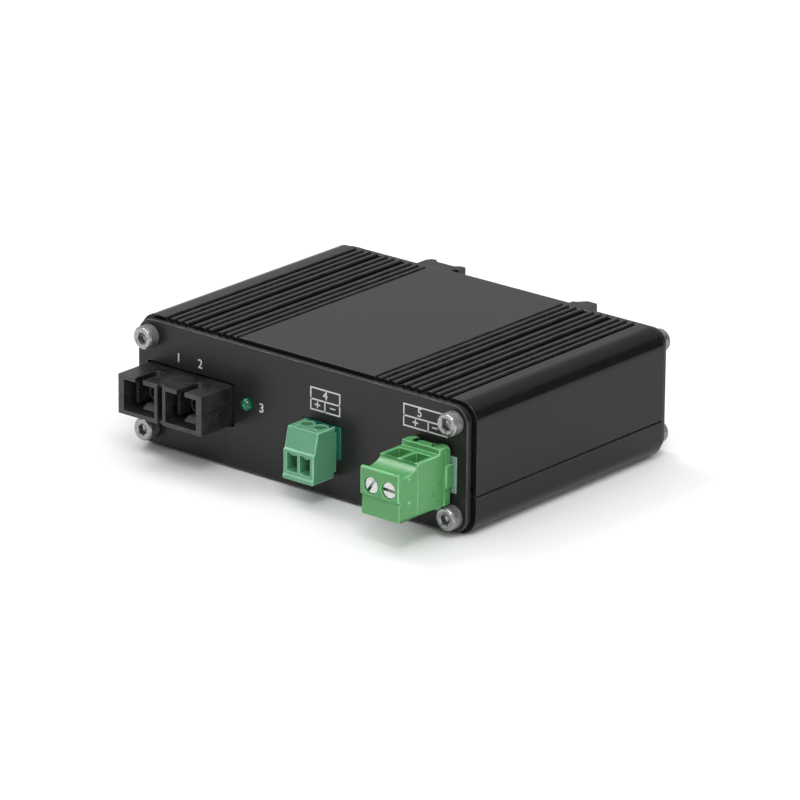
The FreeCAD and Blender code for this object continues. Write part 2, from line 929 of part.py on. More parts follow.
def data_contact(x, grow=0.0):
    """Blade under the clamp's nut wall, riser and the sprung socket that grips the pin."""
    pin = data_pin_side / 2 + pin_fit
    socket = pin + 0.55
    riser = data_pocket_rear + contact_fit
    end = plug_rear + data_tongue_length - 0.8
    parts = [
        box(x - 1.0 - grow, x + 1.0 + grow, data_pocket_front + 0.4 - grow, riser + data_blade + grow,
            data_blade_top - data_blade - grow, data_blade_top + grow),
        box(x - 1.0 - grow, x + 1.0 + grow, riser - grow, riser + data_blade + grow,
            data_blade_top - data_blade - grow, data_pin_z + socket + grow),
        box(x - socket - grow, x + socket + grow, riser - grow, end + grow, data_pin_z - socket - grow,
            data_pin_z + socket + grow)]
    return joined(parts)


def data_plug_contacts():
    """The two contacts of the data plug, open at the back for the socket's pins."""
    pin = data_pin_side / 2 + pin_fit
    contacts = []
    for x in pole_xs(data_x, data_pitch):
        hole = box(x - pin, x + pin, plug_rear + shoulder_reach, plug_rear + data_tongue_length,
                   data_pin_z - pin, data_pin_z + pin)
        contacts.append(data_contact(x).cut(hole))
    return contacts


def bevelled_sides(face, width, bevel):
    """Body of this width along X from its side outline, with both side outlines bevelled."""
    body = face.extrude(Vector(width, 0, 0))
    low, high = body.BoundBox.XMin, body.BoundBox.XMax
    edges = []
    for edge in body.Edges:
        bounds = edge.BoundBox
        if bounds.XMax - bounds.XMin < 0.01 and (bounds.XMin < low + 0.01 or bounds.XMax > high - 0.01):
            edges.append(edge)
    return body.makeChamfer(bevel, edges)


def data_plug_top_recess():
    """Hollow behind the screw collars, between the two raised side lips."""
    half = data_plug_width / 2 - data_lip_width
    top = data_plug_top + 1
    recess = box(data_x - half, data_x + half, data_screw_y, plug_rear + 1, data_lip_low, top)
    collars = [rod(data_collar_radius, Vector(x, data_screw_y, data_lip_low - 1),
                   Vector(0, 0, top - data_lip_low + 2)) for x in pole_xs(data_x, data_pitch)]
    return recess.cut(collars)


def data_mouth(x, front):
    """Wire mouth with a round lobe hanging from its roof."""
    half = data_mouth_width / 2
    high = data_mouth_bottom + data_mouth_height
    mouth = box(x - half, x + half, front - 1, data_pocket_front + 0.1, data_mouth_bottom, high)
    middle = high - data_lobe_drop + data_lobe_radius
    lobe = rod(data_lobe_radius, Vector(x, front + 0.5, middle), Vector(0, 1.2, 0))
    return mouth.cut(lobe)


def data_plug():
    """Moulded plug: stepped, sloped front, wire mouths, collared screw wells and mating tongue."""
    front = plate_face - data_plug_reach
    low, high, shelf = data_plug_bottom, data_plug_top, data_shelf_height
    strip = front - data_strip_proud
    strip_top = low + data_strip_height
    shoulder = plug_rear + shoulder_reach
    foot = plug_rear - data_foot_setback
    foot_top = low + data_foot_height
    profile = outline(
        [(strip, low, 0), (strip, strip_top, 0), (front, strip_top + 0.2, 0), (front, shelf, 0),
         (front + 0.45, shelf + 0.15, 0), (front + data_slope, high, 0.4), (plug_rear, high, 0),
         (plug_rear, data_lip_low, 0), (shoulder, data_lip_low, 0), (shoulder, foot_top, 0),
         (foot, foot_top, 0), (foot, low, 0)],
        beside(data_x - data_plug_width / 2))
    body = bevelled_sides(profile, data_plug_width, plug_bevel)
    wall = data_header_wall + slide_fit
    tongue_half = data_header_width / 2 - wall
    tongue = box(data_x - tongue_half, data_x + tongue_half, plug_rear, plug_rear + data_tongue_length,
                 board_top + wall, data_lip_low)
    body = joined([body, tongue])
    cuts = [data_plug_top_recess()]
    for x in pole_xs(data_x, data_pitch):
        cuts.append(data_mouth(x, front))
        pocket = data_cage_width / 2 + 0.1
        cuts.append(box(x - pocket, x + pocket, data_pocket_front, data_pocket_rear,
                        data_cage_bottom - 0.1, data_ceiling))
        cuts.append(rod(data_screw_radius + pin_fit, Vector(x, data_screw_y, data_ceiling),
                        Vector(0, 0, 0.5)))
        cuts.append(rod(data_hole_radius, Vector(x, data_screw_y, data_head_seat),
                        Vector(0, 0, high + 1 - data_head_seat)))
        slot = data_slot_length / 2
        slot_rear = data_screw_y - data_hole_radius - data_slot_gap
        cuts.append(box(x - slot, x + slot, slot_rear - data_slot_width, slot_rear, high - 0.9, high + 1))
        cuts.append(data_contact(x, contact_fit))
        pin = data_pin_side / 2 + 0.3
        tip = plug_rear + data_tongue_length
        cuts.append(box(x - pin, x + pin, tip - 1, tip, data_pin_z - pin, data_pin_z + pin))
    return body.cut(cuts)


def slotted_screw(centre, axis, head_radius_, head_height_, shank_radius, shank_length, slot_turn):
    """Clamp screw; centre is the middle of the head's underside and axis points out of the head."""
    head = rod(head_radius_, centre, axis * head_height_)
    shank = rod(shank_radius, centre, axis * -shank_length)
    reach = head_radius_ + 1
    slot = Part.makeBox(2 * reach, 0.5, 0.8, Vector(-reach, -0.25, head_height_ - 0.8))
    slot.rotate(Vector(), Vector(0, 0, 1), slot_turn)
    slot.Placement = FreeCAD.Placement(centre, FreeCAD.Rotation(Vector(0, 0, 1), axis)).multiply(
        slot.Placement)
    return joined([head, shank]).cut(slot)


def data_clamp_screw(x, slot_turn):
    """Clamp screw of the data plug, turned from above."""
    length = data_head_seat + 0.05 - data_blade_top - 0.15
    return slotted_screw(Vector(x, data_screw_y, data_head_seat + 0.05), Vector(0, 0, 1),
                         data_head_radius, data_head_height, data_screw_radius, length, slot_turn)


def data_clamp_cage(x):
    """Rising cage of the data plug: the wire goes through its window."""
    half_x, half_y = data_cage_width / 2, data_cage_depth / 2
    y = data_screw_y
    body = box(x - half_x, x + half_x, y - half_y, y + half_y, data_cage_bottom, data_cage_top)
    inner = half_x - 0.45
    window = box(x - inner, x + inner, y - half_y, y + half_y, data_cage_bottom + data_cage_wall,
                 data_window_top)
    thread = rod(data_screw_radius + pin_fit, Vector(x, y, data_window_top), Vector(0, 0, data_cage_nut))
    return body.cut([window, thread])


# Power plug

power_front = plate_face - power_plug_reach
power_seat = power_front + power_head_recess + power_head_height
power_pocket_front = power_seat + power_seat_wall
power_cage_front = power_pocket_front + power_cage_travel + 0.1
power_window_front = power_cage_front + power_cage_nut
power_window_rear = power_window_front + power_cage_window
power_cage_back = power_window_rear + power_cage_rear
power_pocket_rear = power_cage_back + slide_fit
power_pin_z = board_top + power_pin_height
power_blade_front = power_window_front + 0.25
power_blade = 0.7


def power_contact(x, grow=0.0):
    """Upright blade in the cage's window, strip below the cage and the pin's socket."""
    pin = power_pin_side / 2 + pin_fit
    socket = pin + 0.65
    cage_low = power_screw_z - power_cage_height / 2
    strip_top = cage_low - 0.25
    strip_low = strip_top - power_blade
    riser = power_pocket_rear + 0.5
    end = plug_rear + power_tongue_length - 0.8
    cage_high = power_screw_z + power_cage_height / 2
    half = power_cage_width / 2 - power_cage_wall - 0.2
    parts = [
        box(x - half - grow, x + half + grow, power_blade_front - grow,
            power_blade_front + power_blade + grow, strip_low - grow, cage_high - 0.4 + grow),
        box(x - half - grow, x + half + grow, power_blade_front - grow, riser + power_blade + grow,
            strip_low - grow, strip_top + grow),
        box(x - half - grow, x + half + grow, riser - grow, riser + power_blade + grow,
            strip_low - grow, power_pin_z + socket + grow),
        box(x - socket - grow, x + socket + grow, riser - grow, end + grow,
            power_pin_z - socket - grow, power_pin_z + socket + grow)]
    return joined(parts)


def power_plug_contacts():
    """The two contacts of the power plug."""
    pin = power_pin_side / 2 + pin_fit
    contacts = []
    for x in pole_xs(power_x, power_pitch):
        hole = box(x - pin, x + pin, plug_rear + shoulder_reach, plug_rear + power_tongue_length,
                   power_pin_z - pin, power_pin_z + pin)
        contacts.append(power_contact(x).cut(hole))
    return contacts


def power_plug_profile():
    """Side outline: front rim, hollow saddle, raised block and the ridge over the socket."""
    front = power_front
    low, high = power_plug_bottom, power_plug_top
    rim = front + power_rim_depth
    block = front + power_block_start
    ridge = front + power_ridge_start
    ridge_top = high + power_ridge_height
    step = low + power_front_step
    place = beside(power_x - power_plug_width / 2)
    path = [(front + power_step_depth, step), (front + power_step_depth, low), (plug_rear, low),
            (plug_rear, ridge_top - 0.9), (plug_rear - 0.9, ridge_top), (ridge, ridge_top), (ridge, high),
            (block, high), (block, power_rim_height + 0.25)]
    saddle_middle = (rim + (block - rim) * 0.42, power_saddle_height + 0.25)
    front_path = [(rim, power_rim_height - 0.9), (rim, power_rim_height), (front + 0.25, power_rim_height),
                  (front, power_rim_height - 0.25), (front, step), path[0]]
    edges = Part.makePolygon([place(*p) for p in path]).Edges
    edges.append(Part.Arc(place(*path[-1]), place(*saddle_middle), place(*front_path[0])).toShape())
    edges += Part.makePolygon([place(*p) for p in front_path]).Edges
    return Part.Face(Part.Wire(edges))


def power_ridge_cuts():
    """Notches behind the ridge's rail, with the rounded, set-back tab left between them."""
    rail = power_front + power_ridge_start + power_rail_depth
    reach = (power_pitch + power_notch_width) / 2
    tab_half = (power_pitch - power_notch_width) / 2
    tab_rear = plug_rear - power_tab_setback
    low, high = power_plug_top, power_plug_top + power_ridge_height + 1
    tab = outline(
        [(power_x - tab_half, rail - 1, 0), (power_x + tab_half, rail - 1, 0),
         (power_x + tab_half, tab_rear, 0.8), (power_x - tab_half, tab_rear, 0.8)], level(low))
    space = box(power_x - reach, power_x + reach, rail, plug_rear + 1, low, high)
    return space.cut(tab.extrude(Vector(0, 0, high - low)))


def power_flange():
    """Rounded flange round the plug's rear, relieved for the heads of the plate's lower screws."""
    half = power_plug_width / 2 + power_flange_proud
    start = plug_rear - power_flange_depth
    face = rectangle(power_x - half, power_x + half, power_plug_bottom - power_flange_drop,
                     power_plug_top + power_ridge_height, across(start), power_flange_radius)
    relief = rod(head_radius + header_opening_gap, Vector(screw_x, start - 1, screw_inset_z),
                 Vector(0, power_flange_depth + 2, 0))
    return pushed(face, power_flange_depth).cut(relief)


def power_side_relief_cut(side):
    """Shallow relief in one side, behind the front rim."""
    face = power_x + side * power_plug_width / 2
    edges = sorted((face - side * power_side_relief, face + side))
    start, end = power_front + power_rim_depth, power_front + power_block_start
    return box(*edges, start, end, power_plug_bottom - 1, power_plug_top + 1)


def power_side_ribs(side):
    """Two small level ribs in the relief of one side."""
    face = power_x + side * power_plug_width / 2
    edges = sorted((face - side * (power_side_relief + 0.1), face + side * power_rib_proud))
    middle = power_front + (power_rim_depth + power_block_start) / 2
    start, end = middle - power_rib_length / 2, middle + power_rib_length / 2
    return [box(*edges, start, end, z - power_rib_height / 2, z + power_rib_height / 2)
            for z in power_rib_heights]


def power_latches():
    """Small latch bumps under the plug, in front of its flange."""
    bumps = []
    end = plug_rear - power_flange_depth - 0.5
    for side in (-1, 1):
        edge = power_x + side * (power_plug_width / 2 - 0.3)
        sides = sorted((edge, edge - side * power_latch_width))
        bumps.append(box(*sides, end - power_latch_length, end, power_plug_bottom - 0.6,
                         power_plug_bottom + 0.1))
    return bumps


def power_plug():
    """Moulded plug with screws in its front, square wire holes on top and a notched ridge."""
    half_width = power_plug_width / 2
    body = bevelled_sides(power_plug_profile(), power_plug_width, plug_bevel)
    wall = power_header_wall + slide_fit
    tongue_half = power_header_width / 2 - wall
    tongue_high = board_top + power_header_height - wall
    tongue_end = plug_rear + power_tongue_length
    tongue = box(power_x - tongue_half, power_x + tongue_half, plug_rear, tongue_end, board_top + wall,
                 tongue_high)
    reach = half_width + power_guide_rib
    rib = box(power_x - reach, power_x + reach, plug_rear - power_flange_depth + 0.3,
              plug_rear + shoulder_reach, board_top + wall, tongue_high)
    body = body.cut([power_side_relief_cut(-1), power_side_relief_cut(1)])
    ribs = power_side_ribs(-1) + power_side_ribs(1)
    body = joined([body, tongue, rib, power_flange()] + power_latches() + ribs)
    cage_low = power_screw_z - power_cage_height / 2
    cage_high = power_screw_z + power_cage_height / 2
    cuts = [power_ridge_cuts()]
    for x in pole_xs(power_x, power_pitch):
        cuts.append(rod(power_hole_radius, Vector(x, power_front - 1, power_screw_z),
                        Vector(0, power_seat - power_front + 1, 0)))
        cuts.append(rod(power_screw_radius + pin_fit, Vector(x, power_seat, power_screw_z),
                        Vector(0, power_pocket_front - power_seat, 0)))
        pocket = power_cage_width / 2 + 0.1
        cuts.append(box(x - pocket, x + pocket, power_pocket_front, power_pocket_rear,
                        cage_low - 0.15, cage_high + 0.15))
        well = power_window_front - 0.2
        cuts.append(box(x - pocket, x + pocket, well, well + power_hole_length, cage_high,
                        power_plug_top + 1))
        cuts.append(power_contact(x, contact_fit))
        pin = power_pin_side / 2 + 0.3
        cuts.append(box(x - pin, x + pin, tongue_end - 1, tongue_end, power_pin_z - pin,
                        power_pin_z + pin))
    return body.cut(cuts)


def power_clamp_screw(x, slot_turn):
    """Clamp screw of the power plug, turned from the front."""
    length = power_blade_front - power_seat - 0.1
    return slotted_screw(Vector(x, power_seat - 0.05, power_screw_z), Vector(0, -1, 0),
                         power_head_radius, power_head_height - 0.05, power_screw_radius, length,
                         slot_turn)


def power_clamp_cage(x):
    """Cage of the power plug, drawn forward by its screw; the wire comes down through it."""
    half = power_cage_width / 2
    low, high = power_screw_z - power_cage_height / 2, power_screw_z + power_cage_height / 2
    body = box(x - half, x + half, power_cage_front, power_cage_back, low, high)
    inner = half - power_cage_wall
    window = box(x - inner, x + inner, power_window_front, power_window_rear, low, high)
    thread = rod(power_screw_radius + pin_fit, Vector(x, power_cage_front, power_screw_z),
                 Vector(0, power_cage_nut, 0))
    return body.cut([window, thread])


# Rail clip

rail_left = rail_x - rail_width / 2
rail_right = rail_x + rail_width / 2
clip_face = back_face + clip_base_thickness
lip_face = clip_face + rail_slot
clip_end = lip_face + clip_lip_thickness
latch_inner = rail_left - rail_play
latch_start = latch_inner - latch_block_length
latch_low = clip_face + 0.1
latch_high = latch_low + latch_block_thickness
slide_start = latch_start + clip_end_wall + latch_travel + slide_fit_gap
neck_end = slide_start + neck_length
window_start = neck_end + 1.0
window_end = window_start + slide_fit_gap + spring_post + spring_length
slide_end = window_end + slide_end_wall
slide_low = back_face + slide_fit_gap / 2
slide_high = clip_face - clip_cover - slide_fit_gap / 2
slide_middle = (slide_low + slide_high) / 2
slide_window_half = spring_radius + spring_wire / 2 + 0.25


def clip_screw_xs():
    """Places of the two screws that hold the clip on the rear plate."""
    middle = rail_x + clip_screw_offset
    return [middle - clip_screw_spacing / 2, middle + clip_screw_spacing / 2]


def clip_base():
    """Clip body: plate with the fixed hook, the pocket of the sprung slide and its spring post."""
    inner = rail_right + rail_play
    outer = inner + hook_thickness
    tip = rail_right - clip_lip_overlap
    back = clip_end - hook_back_drop
    corners = [
        (latch_start, back_face, 0), (outer, back_face, 0), (outer, back - 0.9, 0),
        (outer - 0.8, back, 0.3), (tip + 0.3, back, 0), (tip, back - 0.3, 0), (tip, lip_face, 0),
        (inner, lip_face, 0), (inner, clip_face, 0), (latch_start, clip_face, 0)]
    body = outline(corners, level(clip_bottom)).extrude(Vector(0, 0, clip_height))
    cuts = []
    for end, side in ((clip_top, 1), (clip_bottom, -1)):
        low, beyond, root = end - side * hook_taper, end + side, tip + hook_taper_length
        corner = [(tip - 1, low), (tip, low), (root, end), (root, beyond), (tip - 1, beyond)]
        wedge = outline([(x, z, 0) for x, z in corner], across(lip_face - 0.01))
        cuts.append(pushed(wedge, clip_lip_thickness + 1))
    half = slide_width / 2 + slide_fit_gap / 2
    pocket_start = latch_start + clip_end_wall
    pocket = box(pocket_start, slide_end + 0.02, back_face, clip_face - clip_cover,
                 mid_height - half, mid_height + half)
    post_start = window_start + slide_fit_gap
    post_half = slide_window_half - 0.2
    post = box(post_start, post_start + spring_post, back_face + slide_fit_gap, clip_face - clip_cover,
               mid_height - post_half, mid_height + post_half)
    cuts.append(pocket.cut(post))
    neck = neck_width / 2 + slide_fit_gap / 2
    cuts.append(box(pocket_start, neck_end + slide_fit_gap / 2, back_face, clip_face,
                    mid_height - neck, mid_height + neck))
    for x in clip_screw_xs():
        depth = clip_head_radius - screw_radius
        cuts.append(rod(screw_radius + screw_hole_clearance, Vector(x, back_face, mid_height),
                        Vector(0, clip_base_thickness, 0)))
        cuts.append(Part.makeCone(screw_radius, clip_head_radius + 0.15, depth + 0.15,
                                  Vector(x, clip_face - depth - 0.15, mid_height), Vector(0, 1, 0)))
    return body.cut(cuts)


def clip_latch():
    """Latch: finger block with its ridge, the two horns over the rail's edge and the neck."""
    start, inner = latch_start, latch_inner
    ridge = start + latch_ridge_width
    rise = inner - latch_recess
    tip = rail_left + clip_lip_overlap
    profile = outline(
        [(start, latch_low, 0), (inner, latch_low, 0), (inner, lip_face, 0), (tip, lip_face, 0),
         (tip, clip_end, 0.2), (rise + 1.3, clip_end, 0), (rise, latch_high, 0), (ridge, latch_high, 0),
         (ridge - 1.3, clip_end, 0), (start + 0.7, clip_end - 0.4, 0), (start, clip_end - 1.7, 0)],
        level(clip_bottom))
    block = profile.extrude(Vector(0, 0, clip_height))
    recess = box(rise, tip + 1, latch_low - 1, clip_end + 1, clip_bottom + horn_height,
                 clip_top - horn_height)
    neck = box(slide_start, neck_end, slide_high, latch_low + 0.5, mid_height - neck_width / 2,
               mid_height + neck_width / 2)
    return joined([block.cut(recess), neck]).cut(latch_screw_hole(slide_high, thread_clearance))


def latch_screw_hole(start, clearance):
    """Hole for the slide's screw from the depth start into the latch."""
    x = (slide_start + neck_end) / 2
    end = clip_face + 1.2
    return rod(latch_screw_radius + clearance, Vector(x, start - 0.01, mid_height),
               Vector(0, end - start, 0))


def latch_slide():
    """Flat slide in the base's pocket, screwed to the latch's neck; its window holds the spring."""
    half = slide_width / 2
    plate = box(slide_start, slide_end, slide_low, slide_high, mid_height - half, mid_height + half)
    window = box(window_start, window_end, slide_low, slide_high, mid_height - slide_window_half,
                 mid_height + slide_window_half)
    x = (slide_start + neck_end) / 2
    head = rod(latch_screw_head_radius + 0.1, Vector(x, slide_low, mid_height),
               Vector(0, latch_screw_head_height + 0.05, 0))
    return plate.cut([window, head, latch_screw_hole(slide_low, 0.1)])


def latch_screw():
    """Small screw that holds the slide on the latch."""
    x = (slide_start + neck_end) / 2
    seat = slide_low + latch_screw_head_height + 0.05
    profile = [(slide_low + 0.05, latch_screw_head_radius), (seat, latch_screw_head_radius),
               (seat, latch_screw_radius), (clip_face + 1.0, latch_screw_radius)]
    slot = box(x - 3, x + 3, slide_low, slide_low + 0.55, mid_height - 0.25, mid_height + 0.25)
    return turned(profile, x, mid_height).cut(slot)


def clip_spring():
    """Coil spring of square wire between the base's post and the slide's window."""
    start = window_start + slide_fit_gap + spring_post + 0.02
    length = spring_length - 0.04 - spring_wire
    path = Part.makeHelix(length / spring_turns, length, spring_radius)
    low, high = spring_radius - spring_wire / 2, spring_radius + spring_wire / 2
    half = spring_wire / 2
    corners = [Vector(low, 0, -half), Vector(high, 0, -half), Vector(high, 0, half), Vector(low, 0, half),
               Vector(low, 0, -half)]
    coil = Part.Wire(path).makePipeShell([Part.makePolygon(corners)], True, True)
    coil.Placement = FreeCAD.Placement(Vector(start + spring_wire / 2, slide_middle, mid_height),
                                       FreeCAD.Rotation(Vector(0, 0, 1), Vector(1, 0, 0)))
    return coil


def clip_screws():
    """Two countersunk screws from the clip into the rear plate."""
    screws = []
    depth = clip_head_radius - screw_radius
    tip = rear_end + gasket_thickness - clip_screw_tip
    for x in clip_screw_xs():
        profile = [(tip, screw_radius), (clip_face - depth - 0.1, screw_radius),
                   (clip_face - 0.1, clip_head_radius)]
        screw = turned(profile, x, mid_height)
        corner = 1.0 / math.cos(math.radians(30))
        points = [(x + corner * math.cos(math.radians(60 * i)),
                   mid_height + corner * math.sin(math.radians(60 * i)), 0) for i in range(6)]
        socket = outline(points, across(clip_face)).extrude(Vector(0, -1.3, 0))
        screws.append(screw.cut(socket))
    return screws


def build():
    """Every node of the model by name; a list is a node of several like solids."""
    nodes = {
        "upper_shell": upper_shell(),
        "lower_shell": lower_shell(),
        "front_plate": front_plate(),
        "rear_plate": rear_plate(),
        "front_gasket": gasket(front_end - gasket_thickness),
        "rear_gasket": gasket(rear_end),
        "front_plate_screws": plate_screws(plate_face, 1),
        "rear_plate_screws": plate_screws(back_face, -1),
        "main_board": main_board(),
        "transceiver_lower_half": transceiver_lower_half(),
        "transceiver_upper_half": transceiver_upper_half(),
        "transmit_barrel": optic_barrel(port_xs[0]),
        "receive_barrel": optic_barrel(port_xs[1]),
        "transceiver_board": transceiver_board(),
        "transceiver_pins": transceiver_pins(),
        "status_lamp": status_lamp(),
        "status_lamp_leads": lamp_leads(),
        "data_header": data_header(),
        "data_header_pins": data_pins(),
        "data_plug": data_plug(),
        "data_plug_contacts": data_plug_contacts(),
        "power_header": power_header(),
        "power_header_pins": power_pins(),
        "power_plug": power_plug(),
        "power_plug_contacts": power_plug_contacts(),
        "storage_capacitors": storage_capacitors(),
        "filter_choke": filter_choke(),
        "power_module": power_module(),
        "crystal_can": crystal_can(),
        "surface_parts": surface_parts(),
        "clip_base": clip_base(),
        "clip_latch": clip_latch(),
        "latch_slide": latch_slide(),
        "latch_screw": latch_screw(),
        "clip_spring": clip_spring(),
        "clip_screws": clip_screws(),
    }
    body, legs = chip(chip_x, rear_end - logic_setback, logic_side, logic_side, logic_height,
                      logic_leg_count, logic_leg_pitch)
    nodes["logic_chip"] = body
    nodes["logic_chip_legs"] = legs
    chips = [chip(line_chip_x, front_end + line_chip_setback, line_chip_length, line_chip_width,
                  line_chip_height, line_leg_count, line_leg_pitch),
             chip(driver_chip_x, front_end + driver_chip_setback, driver_chip_length, driver_chip_width,
                  driver_chip_height, driver_leg_count, line_leg_pitch)]
    nodes["line_chips"] = [body for body, legs in chips]
    nodes["line_chip_legs"] = [leg for body, legs in chips for leg in legs]
    data_turns = (20.0, 75.0)
    power_turns = (62.0, -14.0)
    for i, x in enumerate(pole_xs(data_x, data_pitch)):
        nodes[f"data_clamp_screw_{i + 1}"] = data_clamp_screw(x, data_turns[i])
        nodes[f"data_clamp_cage_{i + 1}"] = data_clamp_cage(x)
    for i, x in enumerate(pole_xs(power_x, power_pitch)):
        nodes[f"power_clamp_screw_{i + 1}"] = power_clamp_screw(x, power_turns[i])
        nodes[f"power_clamp_cage_{i + 1}"] = power_clamp_cage(x)
    return nodes


def main():
    """Writes one STEP file per node."""
    os.makedirs("parts", exist_ok=True)
    for name, shape in build().items():
        if isinstance(shape, list):
            shape = Part.makeCompound(shape)
        solids = len(shape.Solids)
        print(name, "solids", solids, "volume", round(shape.Volume, 1), "valid", shape.isValid())
        shape.exportStep(os.path.join("parts", name + ".step"))


main()
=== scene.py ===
# %% [markdown]
# # A fibre media converter, dressed for its portrait
# The metalwork of this little box already exists as solids: two extruded shells, two end plates, a fibre
# transceiver and two pull-off terminals. This notebook lights it as a studio would, gives every surface the
# finish that it has on the real thing, and models the small parts whose fine detail the solids leave out.
# We start by loading the solids. They are a fixed frame, and nothing here moves or changes them.

# %% Load the solids
import json
import math
import bpy
import bmesh
from mathutils import Matrix, Vector
from mathutils.bvhtree import BVHTree


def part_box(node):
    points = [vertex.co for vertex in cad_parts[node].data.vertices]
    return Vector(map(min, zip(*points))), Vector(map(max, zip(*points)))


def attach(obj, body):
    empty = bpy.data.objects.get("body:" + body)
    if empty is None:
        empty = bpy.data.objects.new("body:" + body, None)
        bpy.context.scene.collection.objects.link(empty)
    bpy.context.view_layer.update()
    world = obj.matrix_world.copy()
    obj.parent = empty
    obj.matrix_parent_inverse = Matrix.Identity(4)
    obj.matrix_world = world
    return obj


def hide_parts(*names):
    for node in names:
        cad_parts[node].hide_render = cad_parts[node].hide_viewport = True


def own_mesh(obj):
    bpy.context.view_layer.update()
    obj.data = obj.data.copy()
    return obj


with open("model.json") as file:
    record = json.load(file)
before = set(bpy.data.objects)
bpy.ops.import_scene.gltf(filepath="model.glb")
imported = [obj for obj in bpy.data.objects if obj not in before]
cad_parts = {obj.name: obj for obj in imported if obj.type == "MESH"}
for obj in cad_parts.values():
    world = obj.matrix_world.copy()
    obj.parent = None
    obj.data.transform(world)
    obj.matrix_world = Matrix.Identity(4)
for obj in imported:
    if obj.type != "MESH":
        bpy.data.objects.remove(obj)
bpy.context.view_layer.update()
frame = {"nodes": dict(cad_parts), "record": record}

millimetre = 0.001

# %% [markdown]
# ## The camera
# The picture was taken from far away with a long lens, from the front right and a little above. The place,
# the two angles and the focal length below put every corner of the case where the picture has it.

# %% Place the camera
camera_place = Vector((0.91928, -1.11270, 0.52208))
camera_azimuth = math.radians(39.576)
camera_elevation = math.radians(19.467)
camera_roll = math.radians(0.54)

camera_data = bpy.data.cameras.new("portrait_camera")
camera_data.lens = 298.37
camera_data.sensor_width = 36.0
camera_data.clip_start = 0.05
camera_data.clip_end = 20.0
camera = bpy.data.objects.new("portrait_camera", camera_data)
bpy.context.scene.collection.objects.link(camera)
turn = Matrix.Rotation(camera_azimuth, 4, "Z")
turn = turn @ Matrix.Rotation(math.radians(90) - camera_elevation, 4, "X")
turn = turn @ Matrix.Rotation(camera_roll, 4, "Z")
camera.matrix_world = Matrix.Translation(camera_place) @ turn
bpy.context.scene.camera = camera
print("camera", round(camera_place.length, 3), "m from the middle of the underside")

# %% [markdown]
# ## The studio
# Satin black shows little colour of its own. What we see on it is the room, so the room is planned by what each
# surface mirrors. The flat top mirrors a pale paper sweep low down behind it on the left. The rounded shoulder
# mirrors a pale panel high up and then the dark corner low down on the right, and that gives the black band
# along the case. The walls mirror the white floor. The room is painted on the world with one ramp by height for
# each side and two more that keep the dark one to the corner behind on the right. The camera alone sees the
# room as plain white.

# %% Floor and sky
def deselect():
    """Clears the selection, so that an operator acts only on what is chosen next."""
    if bpy.context.object and bpy.context.object.mode != "OBJECT":
        bpy.ops.object.mode_set(mode="OBJECT")
    bpy.ops.object.select_all(action="DESELECT")


def plain_material(name):
    """A new material with its node tree and its shader."""
    material = bpy.data.materials.new(name)
    material.use_nodes = True
    return material, material.node_tree, material.node_tree.nodes["Principled BSDF"]


deselect()
bpy.ops.mesh.primitive_plane_add(size=3.2, location=(0, 0, 0))
floor = bpy.context.object
floor.name = "studio_floor"
paper, _, paper_shader = plain_material("white_paper")
paper_shader.inputs["Base Color"].default_value = (0.79, 0.79, 0.79, 1)
paper_shader.inputs["Roughness"].default_value = 0.9
paper_shader.inputs["Specular IOR Level"].default_value = 0.1
floor.data.materials.append(paper)

sky = bpy.data.worlds.new("studio_sky")
sky.use_nodes = True
bpy.context.scene.world = sky
sky_nodes = sky.node_tree.nodes
sky_links = sky.node_tree.links
direction = sky_nodes.new("ShaderNodeTexCoord")
split = sky_nodes.new("ShaderNodeSeparateXYZ")
sky_links.new(direction.outputs["Generated"], split.inputs["Vector"])


def sky_ramp(axis, low, high, stops):
    """Grey levels along one axis of the direction, whose range low to high becomes 0 to 1."""
    span = sky_nodes.new("ShaderNodeMapRange")
    span.inputs["From Min"].default_value = low
    span.inputs["From Max"].default_value = high
    sky_links.new(split.outputs[axis], span.inputs["Value"])
    ramp = sky_nodes.new("ShaderNodeValToRGB")
    sky_links.new(span.outputs["Result"], ramp.inputs["Fac"])
    ramp.color_ramp.elements[0].color = (stops[0], stops[0], stops[0], 1)
    ramp.color_ramp.elements[1].color = (stops[-1][1], stops[-1][1], stops[-1][1], 1)
    for place, level in stops[1:-1]:
        ramp.color_ramp.elements.new(place).color = (level, level, level, 1)
    return ramp


left_room = sky_ramp("Z", 0.0, 1.0, (0.58, (0.42, 0.58), (0.52, 0.50), (0.76, 0.50), (0.88, 0.25), (1.0, 0.3)))
right_room = sky_ramp("Z", 0.0, 1.0, (0.0, (0.47, 0.0), (0.57, 0.50), (0.76, 0.50), (0.88, 0.25), (1.0, 0.3)))
from_left = sky_ramp("X", -1.0, 1.0, (0.0, (0.36, 0.0), (0.58, 1.0), (1.0, 1.0)))
from_front = sky_ramp("Y", -1.0, 1.0, (0.0, (0.45, 0.0), (0.60, 1.0), (1.0, 1.0)))
dark_corner = sky_nodes.new("ShaderNodeMath")
dark_corner.operation = "MULTIPLY"
sky_links.new(from_left.outputs["Color"], dark_corner.inputs[0])
sky_links.new(from_front.outputs["Color"], dark_corner.inputs[1])
room = sky_nodes.new("ShaderNodeMix")
room.data_type = "RGBA"
sky_links.new(dark_corner.outputs["Value"], room.inputs["Factor"])
sky_links.new(left_room.outputs["Color"], room.inputs["A"])
sky_links.new(right_room.outputs["Color"], room.inputs["B"])
seen = sky_nodes.new("ShaderNodeLightPath")
backdrop = sky_nodes.new("ShaderNodeMix")
backdrop.data_type = "RGBA"
backdrop.inputs["B"].default_value = (1, 1, 1, 1)
sky_links.new(seen.outputs["Is Camera Ray"], backdrop.inputs["Factor"])
sky_links.new(room.outputs["Result"], backdrop.inputs["A"])
sky_links.new(backdrop.outputs["Result"], sky_nodes["Background"].inputs["Color"])
sky_nodes["Background"].inputs["Strength"].default_value = 1.0
